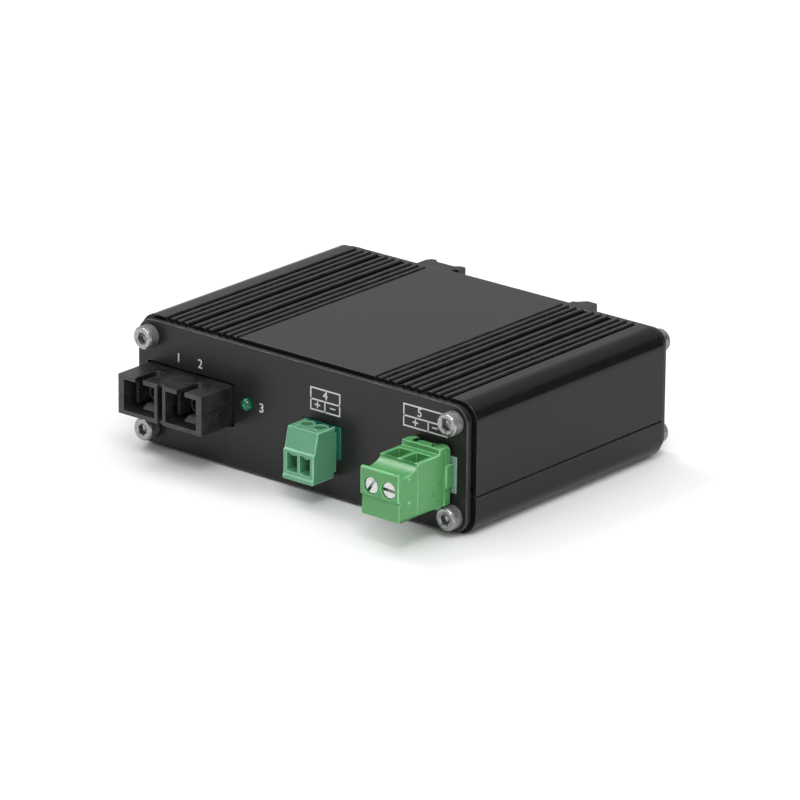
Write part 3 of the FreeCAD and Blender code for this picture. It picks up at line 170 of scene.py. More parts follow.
bpy.context.scene.view_settings.view_transform = "Standard"
print("floor", floor.dimensions[0], "m wide; sky ramps by height and by side")

# %% [markdown]
# A very wide lamp overhead stands for a tent of white cloth. It lights everything softly, so the only shadow is
# the one that the case keeps the tent from filling at its foot, and it is left out of the reflections. Two small
# soft boxes, which do show in reflections, put the white glints on the screws and the pale sheen on the plugs.
# A long strip overhead is only seen in reflections: it draws the bright arc on the rim of each cap screw.

# %% Lamps
def soft_lamp(name, place, size, brightness, length=None, mirrored=True, lights=True):
    """A soft lamp, square or a strip, that faces the object, as bright as white paper times brightness."""
    data = bpy.data.lights.new(name, "AREA")
    data.shape = "RECTANGLE"
    data.size = length or size
    data.size_y = size
    data.energy = brightness * math.pi * data.size * data.size_y
    lamp = bpy.data.objects.new(name, data)
    bpy.context.scene.collection.objects.link(lamp)
    lamp.location = place
    lamp.rotation_euler = (-Vector(place)).to_track_quat("-Z", "Y").to_euler()
    lamp.visible_camera = False
    lamp.visible_glossy = mirrored
    lamp.visible_diffuse = lights
    print(name, round(data.energy, 1), "W")


soft_lamp("tent_lamp", (0.7, 0.3, 1.9), 7.0, 1.02, mirrored=False)
soft_lamp("left_soft_box", (-1.0, 0.15, 1.25), 0.55, 7.5)
soft_lamp("right_soft_box", (0.6, -0.7, 1.3), 0.45, 9.0)
soft_lamp("overhead_strip", (-0.1, -0.56, 1.4), 0.34, 5.0, length=1.7, lights=False)

# %% [markdown]
# ## Shared effects
# A few effects return in most finishes, so each is a node group with named inputs, built once and placed in each
# material with its own values. *Fine grain* is the tiny unevenness of a bead-blasted or moulded surface, with a
# broad cloudiness such as skin oils leave. *Drawn lines* are the faint streaks that a die leaves along an
# extrusion. *Speckle* is the scatter of paler pits and dust grains; on the lamp's lens it makes painted glints.
# *Worn patches* say where an edge has been rubbed. All of them measure the object itself, so no pattern slides
# when the camera moves.

# %% Node groups
def node_group(name, inputs, outputs):
    """A new shader node group with float sockets named in inputs and outputs."""
    group = bpy.data.node_groups.new(name, "ShaderNodeTree")
    for title, value in inputs:
        socket = group.interface.new_socket(name=title, in_out="INPUT", socket_type="NodeSocketFloat")
        socket.default_value = value
    for title in outputs:
        group.interface.new_socket(name=title, in_out="OUTPUT", socket_type="NodeSocketFloat")
    return group, group.nodes.new("NodeGroupInput"), group.nodes.new("NodeGroupOutput")


def group_noise(group, vector, scale, detail, roughness=0.6):
    """A noise texture in a group, measured from a vector socket and scaled by an input socket."""
    noise = group.nodes.new("ShaderNodeTexNoise")
    noise.inputs["Detail"].default_value = detail
    noise.inputs["Roughness"].default_value = roughness
    group.links.new(vector, noise.inputs["Vector"])
    group.links.new(scale, noise.inputs["Scale"])
    return noise.outputs["Fac"]


def group_range(group, value, low, high, to_low=0.0, to_high=1.0):
    """Stretches the part of a value between low and high."""
    stretch = group.nodes.new("ShaderNodeMapRange")
    group.links.new(value, stretch.inputs["Value"])
    for title, number in (("From Min", low), ("From Max", high), ("To Min", to_low), ("To Max", to_high)):
        stretch.inputs[title].default_value = number
    return stretch.outputs["Result"]


fine_grain, given, made = node_group("fine_grain", (("Scale", 900.0), ("Coarse Scale", 90.0)), ("Grain", "Cloud"))
place = fine_grain.nodes.new("ShaderNodeTexCoord").outputs["Object"]
fine_grain.links.new(group_noise(fine_grain, place, given.outputs["Scale"], 3.0), made.inputs["Grain"])
fine_grain.links.new(group_noise(fine_grain, place, given.outputs["Coarse Scale"], 3.0), made.inputs["Cloud"])

drawn_lines, given, made = node_group("drawn_lines", (("Scale", 1500.0),), ("Lines",))
place = drawn_lines.nodes.new("ShaderNodeTexCoord").outputs["Object"]
along = drawn_lines.nodes.new("ShaderNodeMapping")
along.inputs["Scale"].default_value = (1.0, 0.012, 1.0)
drawn_lines.links.new(place, along.inputs["Vector"])
streaks = group_noise(drawn_lines, along.outputs["Vector"], given.outputs["Scale"], 2.0)
drawn_lines.links.new(group_range(drawn_lines, streaks, 0.3, 0.7), made.inputs["Lines"])

speckle, given, made = node_group("speckle", (("Scale", 1400.0),), ("Specks",))
place = speckle.nodes.new("ShaderNodeTexCoord").outputs["Object"]
pits_and_glints = group_noise(speckle, place, given.outputs["Scale"], 1.0)
speckle.links.new(group_range(speckle, pits_and_glints, 0.60, 0.72), made.inputs["Specks"])

worn_patches, given, made = node_group("worn_patches", (("Scale", 260.0),), ("Worn",))
place = worn_patches.nodes.new("ShaderNodeTexCoord").outputs["Object"]
rubbed = group_noise(worn_patches, place, given.outputs["Scale"], 4.0, 0.7)
worn_patches.links.new(group_range(worn_patches, rubbed, 0.38, 0.60), made.inputs["Worn"])
print("node groups:", [group.name for group in bpy.data.node_groups])

# %% [markdown]
# ## Finishes for the solids
# Every finish is the same short recipe with other values: two close tones mixed by the cloudiness, paler specks
# where the surface has pits or dust (on the lamp's lens the specks are painted glints), a roughness that wanders
# with the cloud and with the drawn lines, and a very shallow bump from the grain. Values that are the same all
# over sit on the shader's own sockets.

# %% The finish recipe
def grouped(tree, group, **values):
    """Places a node group in a material's tree with its own values."""
    node = tree.nodes.new("ShaderNodeGroup")
    node.node_tree = group
    for title, value in values.items():
        node.inputs[title.replace("_", " ")].default_value = value
    return node


def mixed_colours(tree, mask, first, second):
    """The colour that goes from first to second with a mask; each is a colour or a socket."""
    mix = tree.nodes.new("ShaderNodeMix")
    mix.data_type = "RGBA"
    tree.links.new(mask, mix.inputs["Factor"])
    for title, colour in (("A", first), ("B", second)):
        if isinstance(colour, tuple):
            mix.inputs[title].default_value = (*colour, 1)
        else:
            tree.links.new(colour, mix.inputs[title])
    return mix.outputs["Result"]


def calculated(tree, operation, *values):
    """One step of arithmetic on numbers and sockets."""
    step = tree.nodes.new("ShaderNodeMath")
    step.operation = operation
    for socket, value in zip(step.inputs, values):
        if isinstance(value, (int, float)):
            socket.default_value = value
        else:
            tree.links.new(value, socket)
    return step.outputs["Value"]


def finish(name, tone, other_tone, roughness, wander=0.04, grain=1300.0, depth=0.02, cloud_scale=60.0,
           contrast=1.2, lines=0.0, specks=None, speck_scale=1400.0, metallic=0.0, specular=0.5,
           coat=0.0, coat_roughness=0.1, glow=0.0):
    """A procedural finish: clouded tone, specks, drawn lines, wandering roughness and fine bump."""
    material, tree, shader = plain_material(name)
    texture = grouped(tree, fine_grain, Scale=grain, Coarse_Scale=cloud_scale)
    cloud = calculated(tree, "MULTIPLY_ADD", texture.outputs["Cloud"], contrast, 0.5 - 0.5 * contrast)
    colour = mixed_colours(tree, cloud, tone, other_tone)
    swing = 4 * wander
    rough = calculated(tree, "MULTIPLY_ADD", texture.outputs["Cloud"], swing, roughness - swing / 2)
    height = texture.outputs["Grain"]
    if specks:
        spots = grouped(tree, speckle, Scale=speck_scale).outputs["Specks"]
        colour = mixed_colours(tree, spots, colour, specks)
        height = calculated(tree, "MULTIPLY_ADD", spots, -0.5, height)
    if lines:
        streaks = grouped(tree, drawn_lines).outputs["Lines"]
        rough = calculated(tree, "MULTIPLY_ADD", streaks, lines, rough)
    tree.links.new(colour, shader.inputs["Base Color"])
    tree.links.new(rough, shader.inputs["Roughness"])
    bump = tree.nodes.new("ShaderNodeBump")
    bump.inputs["Strength"].default_value = 0.4
    bump.inputs["Distance"].default_value = depth * millimetre
    tree.links.new(height, bump.inputs["Height"])
    tree.links.new(bump.outputs["Normal"], shader.inputs["Normal"])
    shader.inputs["Metallic"].default_value = metallic
    shader.inputs["Specular IOR Level"].default_value = specular
    shader.inputs["Coat Weight"].default_value = coat
    shader.inputs["Coat Roughness"].default_value = coat_roughness
    shader.inputs["Subsurface Weight"].default_value = glow
    shader.inputs["Subsurface Radius"].default_value = (0.6, 1.0, 0.6)
    shader.inputs["Subsurface Scale"].default_value = millimetre
    return material


def grey(level):
    """A neutral tone."""
    return (level, level, level)


# %% [markdown]
# The metals and the black parts come first. The shells are bead-blasted, then dyed black in the anodising bath,
# so they are satin, with die lines under the satin. The transceiver is black moulded plastic with a coarse spark
# texture that looks mottled. Stainless screws are neutral, darker than chrome.

# %% Finishes of the metal and black parts
finishes = {
    "case_finish": finish("case_black", grey(0.006), grey(0.009), 0.17, 0.02, 1500.0, 0.02, lines=0.03,
                          specks=grey(0.012), specular=0.22),
    "plate_finish": finish("plate_black", grey(0.008), grey(0.011), 0.36, 0.03, 1600.0, 0.03,
                           specks=grey(0.014), specular=0.36),
    "gasket_rubber": finish("gasket_black", grey(0.012), grey(0.02), 0.7, 0.05, 900.0, 0.04, specular=0.3),
    "stainless": finish("screw_steel", grey(0.29), grey(0.41), 0.20, 0.05, 1800.0, 0.015, 700.0,
                        specks=grey(0.20), metallic=0.92),
    "knurled_steel": finish("screw_knurl", grey(0.15), grey(0.30), 0.38, 0.06, 1800.0, 0.03, 900.0, contrast=2.5,
                            specks=grey(0.08), metallic=0.5),
    "black_screw": finish("clip_screw_black", grey(0.03), grey(0.05), 0.35, 0.05, metallic=0.8),
    "optic_black": finish("port_black", grey(0.004), grey(0.026), 0.37, 0.05, 1100.0, 0.09, 190.0, contrast=3.0,
                          specks=grey(0.03), speck_scale=900.0, specular=0.62),
    "barrel_metal": finish("barrel_dark", grey(0.03), grey(0.05), 0.4, 0.05, metallic=0.6),
    "tinned_pins": finish("pin_tin", grey(0.55), grey(0.65), 0.3, 0.05, metallic=1.0),
    "contact_brass": finish("contact_brass_sheet", (0.65, 0.48, 0.2), (0.7, 0.52, 0.24), 0.3, metallic=1.0),
    "clamp_zinc": finish("clamp_zinc_plate", grey(0.56), grey(0.72), 0.28, 0.06, 1300.0, 0.03, 900.0,
                         specks=grey(0.4), metallic=1.0),
    "module_black": finish("module_case_black", grey(0.012), grey(0.016), 0.5, grain=900.0, depth=0.04),
    "chip_black": finish("chip_mould_black", grey(0.012), grey(0.018), 0.55, depth=0.03),
    "choke_ferrite": finish("ferrite_grey", grey(0.035), grey(0.05), 0.6, 0.06, 900.0, 0.05),
    "can_metal": finish("can_nickel", grey(0.6), grey(0.68), 0.28, metallic=1.0),
    "clip_black": finish("clip_plastic_black", grey(0.008), grey(0.012), 0.42, 0.05, 1200.0, 0.05,
                         specks=grey(0.015), specular=0.5),
    "spring_steel": finish("spring_wire_steel", grey(0.4), grey(0.5), 0.3, metallic=1.0),
}
print("metal and black finishes:", len(finishes))

# %% [markdown]
# The terminals are glass-filled nylon in three greens, waxy and slightly see-through, with pale flow marks, so
# their cloudiness is larger and their specks are faint. The board, the lamp and the small parts follow.

# %% Finishes of the coloured parts
finishes.update({
    "data_green": finish("data_plug_plastic", (0.080, 0.27, 0.148), (0.115, 0.33, 0.19), 0.34, 0.04, 1100.0, 0.03,
                         180.0, specks=(0.13, 0.36, 0.21), speck_scale=2600.0, glow=0.3),
    "power_green": finish("power_plug_plastic", (0.055, 0.245, 0.070), (0.085, 0.305, 0.105), 0.30, 0.04, 1100.0,
                          0.03, 180.0, specks=(0.095, 0.325, 0.115), speck_scale=2600.0, glow=0.3),
    "socket_green": finish("power_socket_plastic", (0.15, 0.27, 0.21), (0.19, 0.32, 0.25), 0.40, cloud_scale=180.0),
    # The teal socket's tone is darkened for the shade it sits in behind its plug: painted shade.
    "socket_teal": finish("socket_teal_plastic", (0.006, 0.085, 0.058), (0.010, 0.115, 0.08), 0.38, depth=0.03,
                          cloud_scale=180.0),
    # On the lamp's lens the pale green specks are painted glints.
    "lamp_green": finish("lamp_lens_green", (0.001, 0.028, 0.014), (0.003, 0.13, 0.060), 0.06, 0.01, 900.0, 0.05,
                         620.0, specks=(0.03, 0.48, 0.20), speck_scale=1000.0, coat=0.4, coat_roughness=0.03),
    "board_laminate": finish("board_green", (0.01, 0.12, 0.05), (0.014, 0.15, 0.06), 0.32, 0.04, 700.0, coat=0.4),
    "capacitor_sleeve": finish("capacitor_navy", (0.01, 0.015, 0.05), (0.014, 0.02, 0.07), 0.3, grain=500.0),
    "ceramic_parts": finish("ceramic_brown", (0.28, 0.2, 0.12), (0.34, 0.25, 0.16), 0.5, depth=0.03),
})
slot_of = {entry["node"]: entry["material_slot"] for entry in frame["record"]["subparts"]}
body_of = {node: body for body, nodes in frame["record"]["behaviour"]["bodies"].items() for node in nodes}
for name, node in frame["nodes"].items():
    node.data.materials.clear()
    node.data.materials.append(finishes[slot_of[name]])
print("finishes:", len(finishes), "on", len(frame["nodes"]), "solids")

# %% [markdown]
# ## Soft edges
# No real edge is perfectly sharp. A sawn and anodised extrusion has a tiny rounding, a moulded plug a larger
# one, and that rounding catches the light as a thin bright line. It is also where the dye or the skin of the
# plastic is rubbed away. The solids have sharp edges, so each piece that shows gets a stand-in: a copy of its
# mesh, its doubles merged and its flat facets joined, with a bevel of a tenth of a millimetre or so. The bevel's
# own faces get a second finish, paler than the faces beside them all along the edge, which is a painted
# highlight, with still paler worn patches where the edge is rubbed. Weighted normals keep the flat faces flat.

# %% Painted highlight and wear of edges
def edge_highlight_and_wear(name, tone, worn_tone, roughness, metallic=0.0):
    """The finish of a rounded edge: a paler tone all along it, which is a painted highlight, and a paler one still
    where it is rubbed.
    """
    material, tree, shader = plain_material(name)
    worn = grouped(tree, worn_patches).outputs["Worn"]
    tree.links.new(mixed_colours(tree, worn, tone, worn_tone), shader.inputs["Base Color"])
    tree.links.new(calculated(tree, "MULTIPLY_ADD", worn, -0.08, roughness), shader.inputs["Roughness"])
    shader.inputs["Metallic"].default_value = metallic
    return material


# Each edge tone is paler than the face it borders, a painted highlight; the worn tone marks the rubbed spots.
edge_highlights_and_wear = {
    "case_finish": edge_highlight_and_wear("case_edge", grey(0.012), grey(0.05), 0.32, 0.3),
    "plate_finish": edge_highlight_and_wear("plate_edge", grey(0.03), grey(0.10), 0.32, 0.4),
    "optic_black": edge_highlight_and_wear("port_edge", grey(0.02), grey(0.05), 0.40),
    "data_green": edge_highlight_and_wear("data_plug_edge", (0.17, 0.42, 0.26), (0.26, 0.55, 0.36), 0.36),
    "power_green": edge_highlight_and_wear("power_plug_edge", (0.14, 0.42, 0.17), (0.24, 0.56, 0.28), 0.36),
    "socket_teal": edge_highlight_and_wear("socket_teal_edge", (0.015, 0.16, 0.11), (0.03, 0.22, 0.155), 0.36),
    "socket_green": edge_highlight_and_wear("socket_green_edge", (0.30, 0.46, 0.35), (0.38, 0.55, 0.43), 0.36),
    "clip_black": edge_highlight_and_wear("clip_edge", grey(0.015), grey(0.04), 0.40),
}
print("edge finishes:", len(edge_highlights_and_wear))

# %% [markdown]
# A stand-in takes four steps. The solid's mesh is copied and cleaned, a bevel rounds its sharp edges, bevel
# points that went astray at a very short edge are set back on the solid, and then the piece takes the solid's
# place and rides where it rides.

# %% A rounded stand-in for a solid
stray_widths = 2.2


def begin_edit(piece):
    """Makes the piece the only chosen one and opens it for editing, with all of it selected."""
    deselect()
    bpy.context.view_layer.objects.active = piece
    piece.select_set(True)
    bpy.ops.object.mode_set(mode="EDIT")
    bpy.ops.mesh.select_all(action="SELECT")


def apply_modifier(piece, kind, name, **settings):
    """Adds one modifier with its settings and applies it."""
    modifier = piece.modifiers.new(name, kind)
    for setting, value in settings.items():
        setattr(modifier, setting, value)
    bpy.ops.object.modifier_apply(modifier=name)


def soften(piece, width, segments=2, smooth=38.0, limit=28.0, edge_material=-1):
    """Rounds the sharp edges of a piece and smooths its shading while its flat faces stay flat."""
    apply_modifier(piece, "BEVEL", "soft_edges", width=width, segments=segments, limit_method="ANGLE",
                   angle_limit=math.radians(limit), use_clamp_overlap=False, miter_outer="MITER_ARC",
                   miter_inner="MITER_SHARP", material=edge_material)
    bpy.ops.object.shade_smooth_by_angle(angle=math.radians(smooth))
    apply_modifier(piece, "WEIGHTED_NORMAL", "flat_faces", mode="FACE_AREA", weight=60, keep_sharp=True)


def merged_copy(name, reach=0.002):
    """A copy of a solid's mesh with points nearer than reach merged and its flat facets joined."""
    piece = bpy.data.objects.new(name + "_finished", frame["nodes"][name].data.copy())
    bpy.context.scene.collection.objects.link(piece)
    begin_edit(piece)
    bpy.ops.mesh.remove_doubles(threshold=reach * millimetre)
    bpy.ops.mesh.dissolve_limited(angle_limit=math.radians(0.5))
    bpy.ops.object.mode_set(mode="OBJECT")
    return piece


def pull_back(piece, name, reach):
    """Sets bevel points farther than reach from the solid back on its surface."""
    solid = frame["nodes"][name].data
    surface = BVHTree.FromPolygons([point.co for point in solid.vertices],
                                   [face.vertices for face in solid.polygons])
    for point in piece.data.vertices:
        nearest, _, _, distance = surface.find_nearest(point.co)
        if distance > reach:
            point.co = nearest


def rounded_stand_in(piece, name, width):
    """Softens the edges of a merged copy, in millimetres, and lets it ride where the solid rides."""
    piece.data.materials.append(edge_highlights_and_wear[slot_of[name]])
    soften(piece, width * millimetre, edge_material=1)
    pull_back(piece, name, stray_widths * width * millimetre)
    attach(piece, body_of[name])
    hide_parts(name)
    print(piece.name, len(piece.data.polygons), "faces")


# %% [markdown]
# The widths below are in millimetres. An extrusion that is sawn and tumbled keeps a crisp edge, and so does the
# hard plastic of the transceiver. The end plates are deburred by hand and the clip is moulded in a softer
# plastic, so their edges are rounder.

# %% Round the edges of the shells, plates, ports and clip
edge_widths = {
    "upper_shell": 0.09, "lower_shell": 0.09, "front_plate": 0.13, "rear_plate": 0.13,
    "transceiver_lower_half": 0.08, "transceiver_upper_half": 0.08,
    "data_header": 0.1, "power_header": 0.1,
    "clip_base": 0.15, "clip_latch": 0.15,
}
for name, width in edge_widths.items():
    rounded_stand_in(merged_copy(name), name, width)

# %% [markdown]
# On the floor of each port lies a ramp that the connector slides up. Its top faces are found by their place and
# given a finish of their own, smooth and pale; the pale tone is a painted pool of light in the dark port.

# %% Paint a pool of light on the ramps in the ports
port_pitch = 12.7 * millimetre
ramp_reach = 2.0 * millimetre
ramp_low, ramp_top = 11.9 * millimetre, 12.9 * millimetre
ramp_start, ramp_end = 3.0 * millimetre, 14.0 * millimetre
facing_up = 0.5
# The pale tone of the ramp's finish is a painted pool of light.
ramp_light_patch = finish("ramp_painted_light", grey(0.10), grey(0.16), 0.22, specular=0.6)
lower_half = bpy.data.objects["transceiver_lower_half_finished"]
lower_half.data.materials.append(ramp_light_patch)
half_low, half_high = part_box("transceiver_lower_half")
port_xs = [(half_low.x + half_high.x) / 2 + side * port_pitch / 2 for side in (-1, 1)]
ramp_faces = [face for face in lower_half.data.polygons
              if face.normal.z > facing_up and ramp_low < face.center.z < ramp_top
              and ramp_start < face.center.y - half_low.y < ramp_end
              and min(abs(face.center.x - x) for x in port_xs) < ramp_reach]
for face in ramp_faces:
    face.material_index = 2
print("ramp faces:", len(ramp_faces))

# %% [markdown]
# The front of the power plug has one more detail: below its screws the face steps back by a fraction of a
# millimetre, where the two halves of the mould met. A slab is cut from the merged copy before its edges are
# rounded, so the step gets a soft edge of its own. The wire openings in its top are closed towards the saddle by
# a thin wall, which is joined on in the same way.

# %% Step the front of the power plug and wall its wire openings
def block_between(low, high):
    """A block between its lowest and its highest corner."""
    deselect()
    bpy.ops.mesh.primitive_cube_add(size=1.0, location=tuple((low + high) / 2))
    block = bpy.context.object
    block.scale = tuple(high - low)
    bpy.ops.object.transform_apply(location=True, rotation=True, scale=True)
    return block


def combine(piece, block, name, operation):
    """Cuts a block out of the piece, or joins it on, and removes the block."""
    deselect()
    bpy.context.view_layer.objects.active = piece
    piece.select_set(True)
    apply_modifier(piece, "BOOLEAN", name, operation=operation, object=block, solver="EXACT")
    bpy.data.objects.remove(block)


low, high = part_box("power_plug")
step_depth = 0.5 * millimetre
step_share = 0.36
step_top = low.z + step_share * (high.z - low.z)
margin = Vector((1, 1, 1)) * millimetre
step = block_between(low - margin, Vector((high.x + millimetre, low.y + step_depth, step_top)))
power_plug = merged_copy("power_plug", reach=0.07)
combine(power_plug, step, "mould_step", "DIFFERENCE")
wall_front, wall_back, wall_half_width = 6.74 * millimetre, 7.40 * millimetre, 5.3 * millimetre
wall_top, wall_foot = high.z - 1.42 * millimetre, high.z - 3.85 * millimetre
middle = (low.x + high.x) / 2
wall = block_between(Vector((middle - wall_half_width, low.y + wall_front, wall_foot)),
                    Vector((middle + wall_half_width, low.y + wall_back, wall_top)))
combine(power_plug, wall, "opening_wall", "UNION")
rounded_stand_in(power_plug, "power_plug", 0.12)

# %% [markdown]
# The data plug has a narrow slot in front of each screw hole, where a test probe reaches the clamp. It is seen
# from the front as a dark dash, so it is cut deeper and a little wider than the solid has it.

# %% Open the probe slots of the data plug
slot_size = Vector((2.1, 0.62, 3.0)) * millimetre
slot_setback = 2.7 * millimetre
data_plug = merged_copy("data_plug")
plug_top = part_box("data_plug")[1].z
for node in ("data_clamp_screw_1", "data_clamp_screw_2"):
    low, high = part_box(node)
    centre = Vector(((low.x + high.x) / 2, (low.y + high.y) / 2 - slot_setback, plug_top))
    slot = block_between(centre - slot_size / 2, centre + slot_size / 2)
    combine(data_plug, slot, "probe_slot", "DIFFERENCE")
rounded_stand_in(data_plug, "data_plug", 0.12)

# %% [markdown]
# ## Cap screws
# Eight stainless cap screws hold the two end plates. A real one is cold-headed: a round head with a knurled
# side, a bright turned rim and a broached hexagon. A hexagon and a circle with as many corners are bridged to
# make the top face. From there, rings are extruded one after another, inwards for the socket, outwards
# for the rim, the knurled side and the shank. One screw is made standing on the origin and then copied.

# %% Rings
def add_ring(corners, radius, height):
    """Adds a circle of corners to the open mesh, on the Z axis, and selects it alone."""
    bpy.ops.mesh.primitive_circle_add(vertices=corners, radius=radius, location=(0, 0, height))


def grow_ring(rise, factor):
    """Extrudes the selected ring of edges along Z and widens or narrows it."""
    bpy.ops.mesh.extrude_edges_indiv()
    bpy.ops.transform.translate(value=(0, 0, rise))
    bpy.ops.transform.resize(value=(factor, factor, 1), center_override=(0, 0, 0))


def grow_rings(path):
    """Extrudes the selected ring through the (radius, height) places of a path; its first is where it is."""
    for (radius, height), (next_radius, next_height) in zip(path, path[1:]):
        grow_ring(next_height - height, next_radius / radius)


def choose_points(test):
    """In edit mode, selects only the points whose place passes the test."""
    bpy.ops.mesh.select_mode(type="VERT")
    bpy.ops.mesh.select_all(action="DESELECT")
    shape = bmesh.from_edit_mesh(bpy.context.object.data)
    for point in shape.verts:
        point.select_set(test(point.co))
    shape.select_flush_mode()
    bmesh.update_edit_mesh(bpy.context.object.data)
    bpy.ops.mesh.select_mode(type="EDGE")


def close_and_settle():
    """Turns all faces of the edited piece outwards and closes the edit."""
    bpy.ops.mesh.select_mode(type="VERT")
    bpy.ops.mesh.select_all(action="SELECT")
    bpy.ops.mesh.remove_doubles(threshold=0.001 * millimetre)
    bpy.ops.mesh.normals_make_consistent(inside=False)
    bpy.ops.object.mode_set(mode="OBJECT")
    bpy.ops.object.transform_apply(location=True, rotation=True, scale=True)


# %% [markdown]
# The sizes are those of the standard 3 mm cap screw. The knurl comes from the ring of 96 corners: every second
# corner of the side is drawn in, which leaves 48 fine teeth, and the rings above and below stay round.

# %% One cap screw
screw_corners = 96
socket_flats = 2.5 * millimetre
socket_depth = 1.6 * millimetre
head_radius = 2.75 * millimetre
head_height = 3.0 * millimetre
shank_radius = 1.45 * millimetre
shank_length = 8.0 * millimetre
socket_rim = 1.62 * millimetre
socket_sink = 0.16 * millimetre
knurl_depth = 0.035
turned_share = 0.985
side_share = 0.9
bevel_rise = 0.05 * millimetre
level_slack = 0.01 * millimetre

deselect()
socket_corner = socket_flats / 2 / math.cos(math.radians(30))
bpy.ops.mesh.primitive_circle_add(vertices=6, radius=socket_corner, location=(0, 0, 0))
cap_screw = bpy.context.object
cap_screw.name = "cap_screw_pattern"
begin_edit(cap_screw)
bpy.ops.mesh.subdivide(number_cuts=screw_corners // 6 - 1)
bpy.ops.transform.translate(value=(0, 0, -socket_sink))
add_ring(screw_corners, socket_rim, 0.0)
bpy.ops.mesh.select_all(action="SELECT")
bpy.ops.mesh.bridge_edge_loops()

choose_points(lambda place: place.z < -socket_sink / 2)
grow_ring(socket_sink - socket_depth, 1.0)
grow_ring(-0.1 * millimetre, 0.8)
grow_ring(-0.35 * millimetre, 0.02)
bpy.ops.mesh.merge(type="CENTER")

choose_points(lambda place: place.z > -socket_sink / 2)
rim_path = [(socket_rim, 0.0), (head_radius * 0.86, 0.0), (head_radius * 0.89, -0.03 * millimetre),
            (head_radius * 0.965, -0.29 * millimetre), (head_radius * turned_share, -0.33 * millimetre),
            (head_radius * turned_share, -0.42 * millimetre)]
grow_rings(rim_path)
knurl_top = rim_path[-1][1]
knurl_end = 0.15 * millimetre - head_height
grow_ring(-bevel_rise, 1.015)
tooth = math.tau / screw_corners


def in_valley(place, low, high):
    """Whether a point of the head's side, between two heights, lies in a valley of the knurl."""
    number = round(math.atan2(place.y, place.x) / tooth)
    return low < place.z < high and number % 2 == 1 and place.xy.length > side_share * head_radius


def sink_valleys(height, factor):
    """Moves the valley points of one ring in or out and then selects the whole ring."""
    choose_points(lambda place: in_valley(place, height - level_slack, height + level_slack))
    bpy.ops.transform.resize(value=(factor, factor, 1), center_override=(0, 0, 0))
    choose_points(lambda place: abs(place.z - height) < level_slack
                  and place.xy.length > side_share * head_radius)


sink_valleys(knurl_top - bevel_rise, 1 - knurl_depth)
grow_ring(knurl_end - knurl_top + bevel_rise, 1.0)
grow_ring(-bevel_rise, turned_share)
sink_valleys(knurl_end - bevel_rise, 1 / (1 - knurl_depth))
foot_path = [(head_radius * turned_share, knurl_end - bevel_rise), (head_radius * turned_share, -head_height),
             (shank_radius, -head_height), (shank_radius, -head_height - shank_length + 0.4 * millimetre),
             (shank_radius * 0.8, -head_height - shank_length)]
grow_rings(foot_path)
bpy.ops.mesh.edge_face_add()
close_and_settle()
cap_screw.data.materials.append(finishes["stainless"])
cap_screw.data.materials.append(finishes["knurled_steel"])
for face in cap_screw.data.polygons:
    knurled = knurl_end < face.center.z < knurl_top and face.center.xy.length > side_share * head_radius
    face.material_index = 1 if knurled else 0
bpy.ops.object.shade_smooth_by_angle(angle=math.radians(30))
print("cap screw pattern:", len(cap_screw.data.polygons), "faces")

# %% [markdown]
# The four screws of each plate sit in the corners of the box around the plain ones, which is read from the frame.
# Each copy gets a mesh of its own, turned about its axis as a hand left it. They ride on the case and stand for
# the plain screws.

# %% Place the cap screws
def set_down(mesh, place, facing, turned_by):
    """Moves a mesh that stands on the origin to a place, with its Z axis along a direction."""
    facing_turn = Vector(facing).to_track_quat("Z", "Y").to_matrix().to_4x4()
    mesh.transform(Matrix.Translation(place) @ facing_turn @ Matrix.Rotation(turned_by, 4, "Z"))


def placed_copy(pattern, name, place, facing, turned_by):
    """A copy of a pattern with a mesh of its own, set down in its place."""
    copy = bpy.data.objects.new(name, pattern.data.copy())
    bpy.context.scene.collection.objects.link(copy)
    set_down(copy.data, place, facing, turned_by)
    return copy


def joined_pieces(pieces, name):
    """One object out of several, named for what they are together."""
    deselect()
    for piece in pieces:
        piece.select_set(True)
    bpy.context.view_layer.objects.active = pieces[0]
    if len(pieces) > 1:
        bpy.ops.object.join()
    pieces[0].name = name
    return pieces[0]


socket_turns = (12.0, 41.0, 27.0, 55.0)
for node, facing in (("front_plate_screws", (0, -1, 0)), ("rear_plate_screws", (0, 1, 0))):
    low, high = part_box(node)
    top = low.y if facing[1] < 0 else high.y
    corners = [(x, z) for x in (low.x + head_radius, high.x - head_radius)
               for z in (low.z + head_radius, high.z - head_radius)]
    copies = [placed_copy(cap_screw, node + "_copy", Vector((x, top, z)), facing, math.radians(angle))
              for (x, z), angle in zip(corners, socket_turns)]
    screws = joined_pieces(copies, node.replace("_screws", "_cap_screws"))
    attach(screws, "case")
    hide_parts(node)
    print(screws.name, len(screws.data.polygons), "faces")
bpy.data.objects.remove(cap_screw)

# %% [markdown]
# ## Clamp screws of the terminals
# Each plug has two slotted clamp screws, nickel-plated, with a sawn slot whose edges are slightly raised
# and worn. A cylinder gets a narrower shank drawn out of its underside, a thin bar saws the slot out of it, and
# the bevel that softens every edge goes on last. The two plugs have screws of different sizes, so each gets its
# own pattern.

# %% Slotted screws
slot_width = 0.62 * millimetre
slot_depth = 0.9 * millimetre
edge_width = 0.06 * millimetre
screw_kinds = {"power": {"facing": (0, -1, 0), "head": 1.55 * millimetre, "shank_share": 0.68},
               "data": {"facing": (0, 0, 1), "head": 1.4 * millimetre, "shank_share": 0.73}}


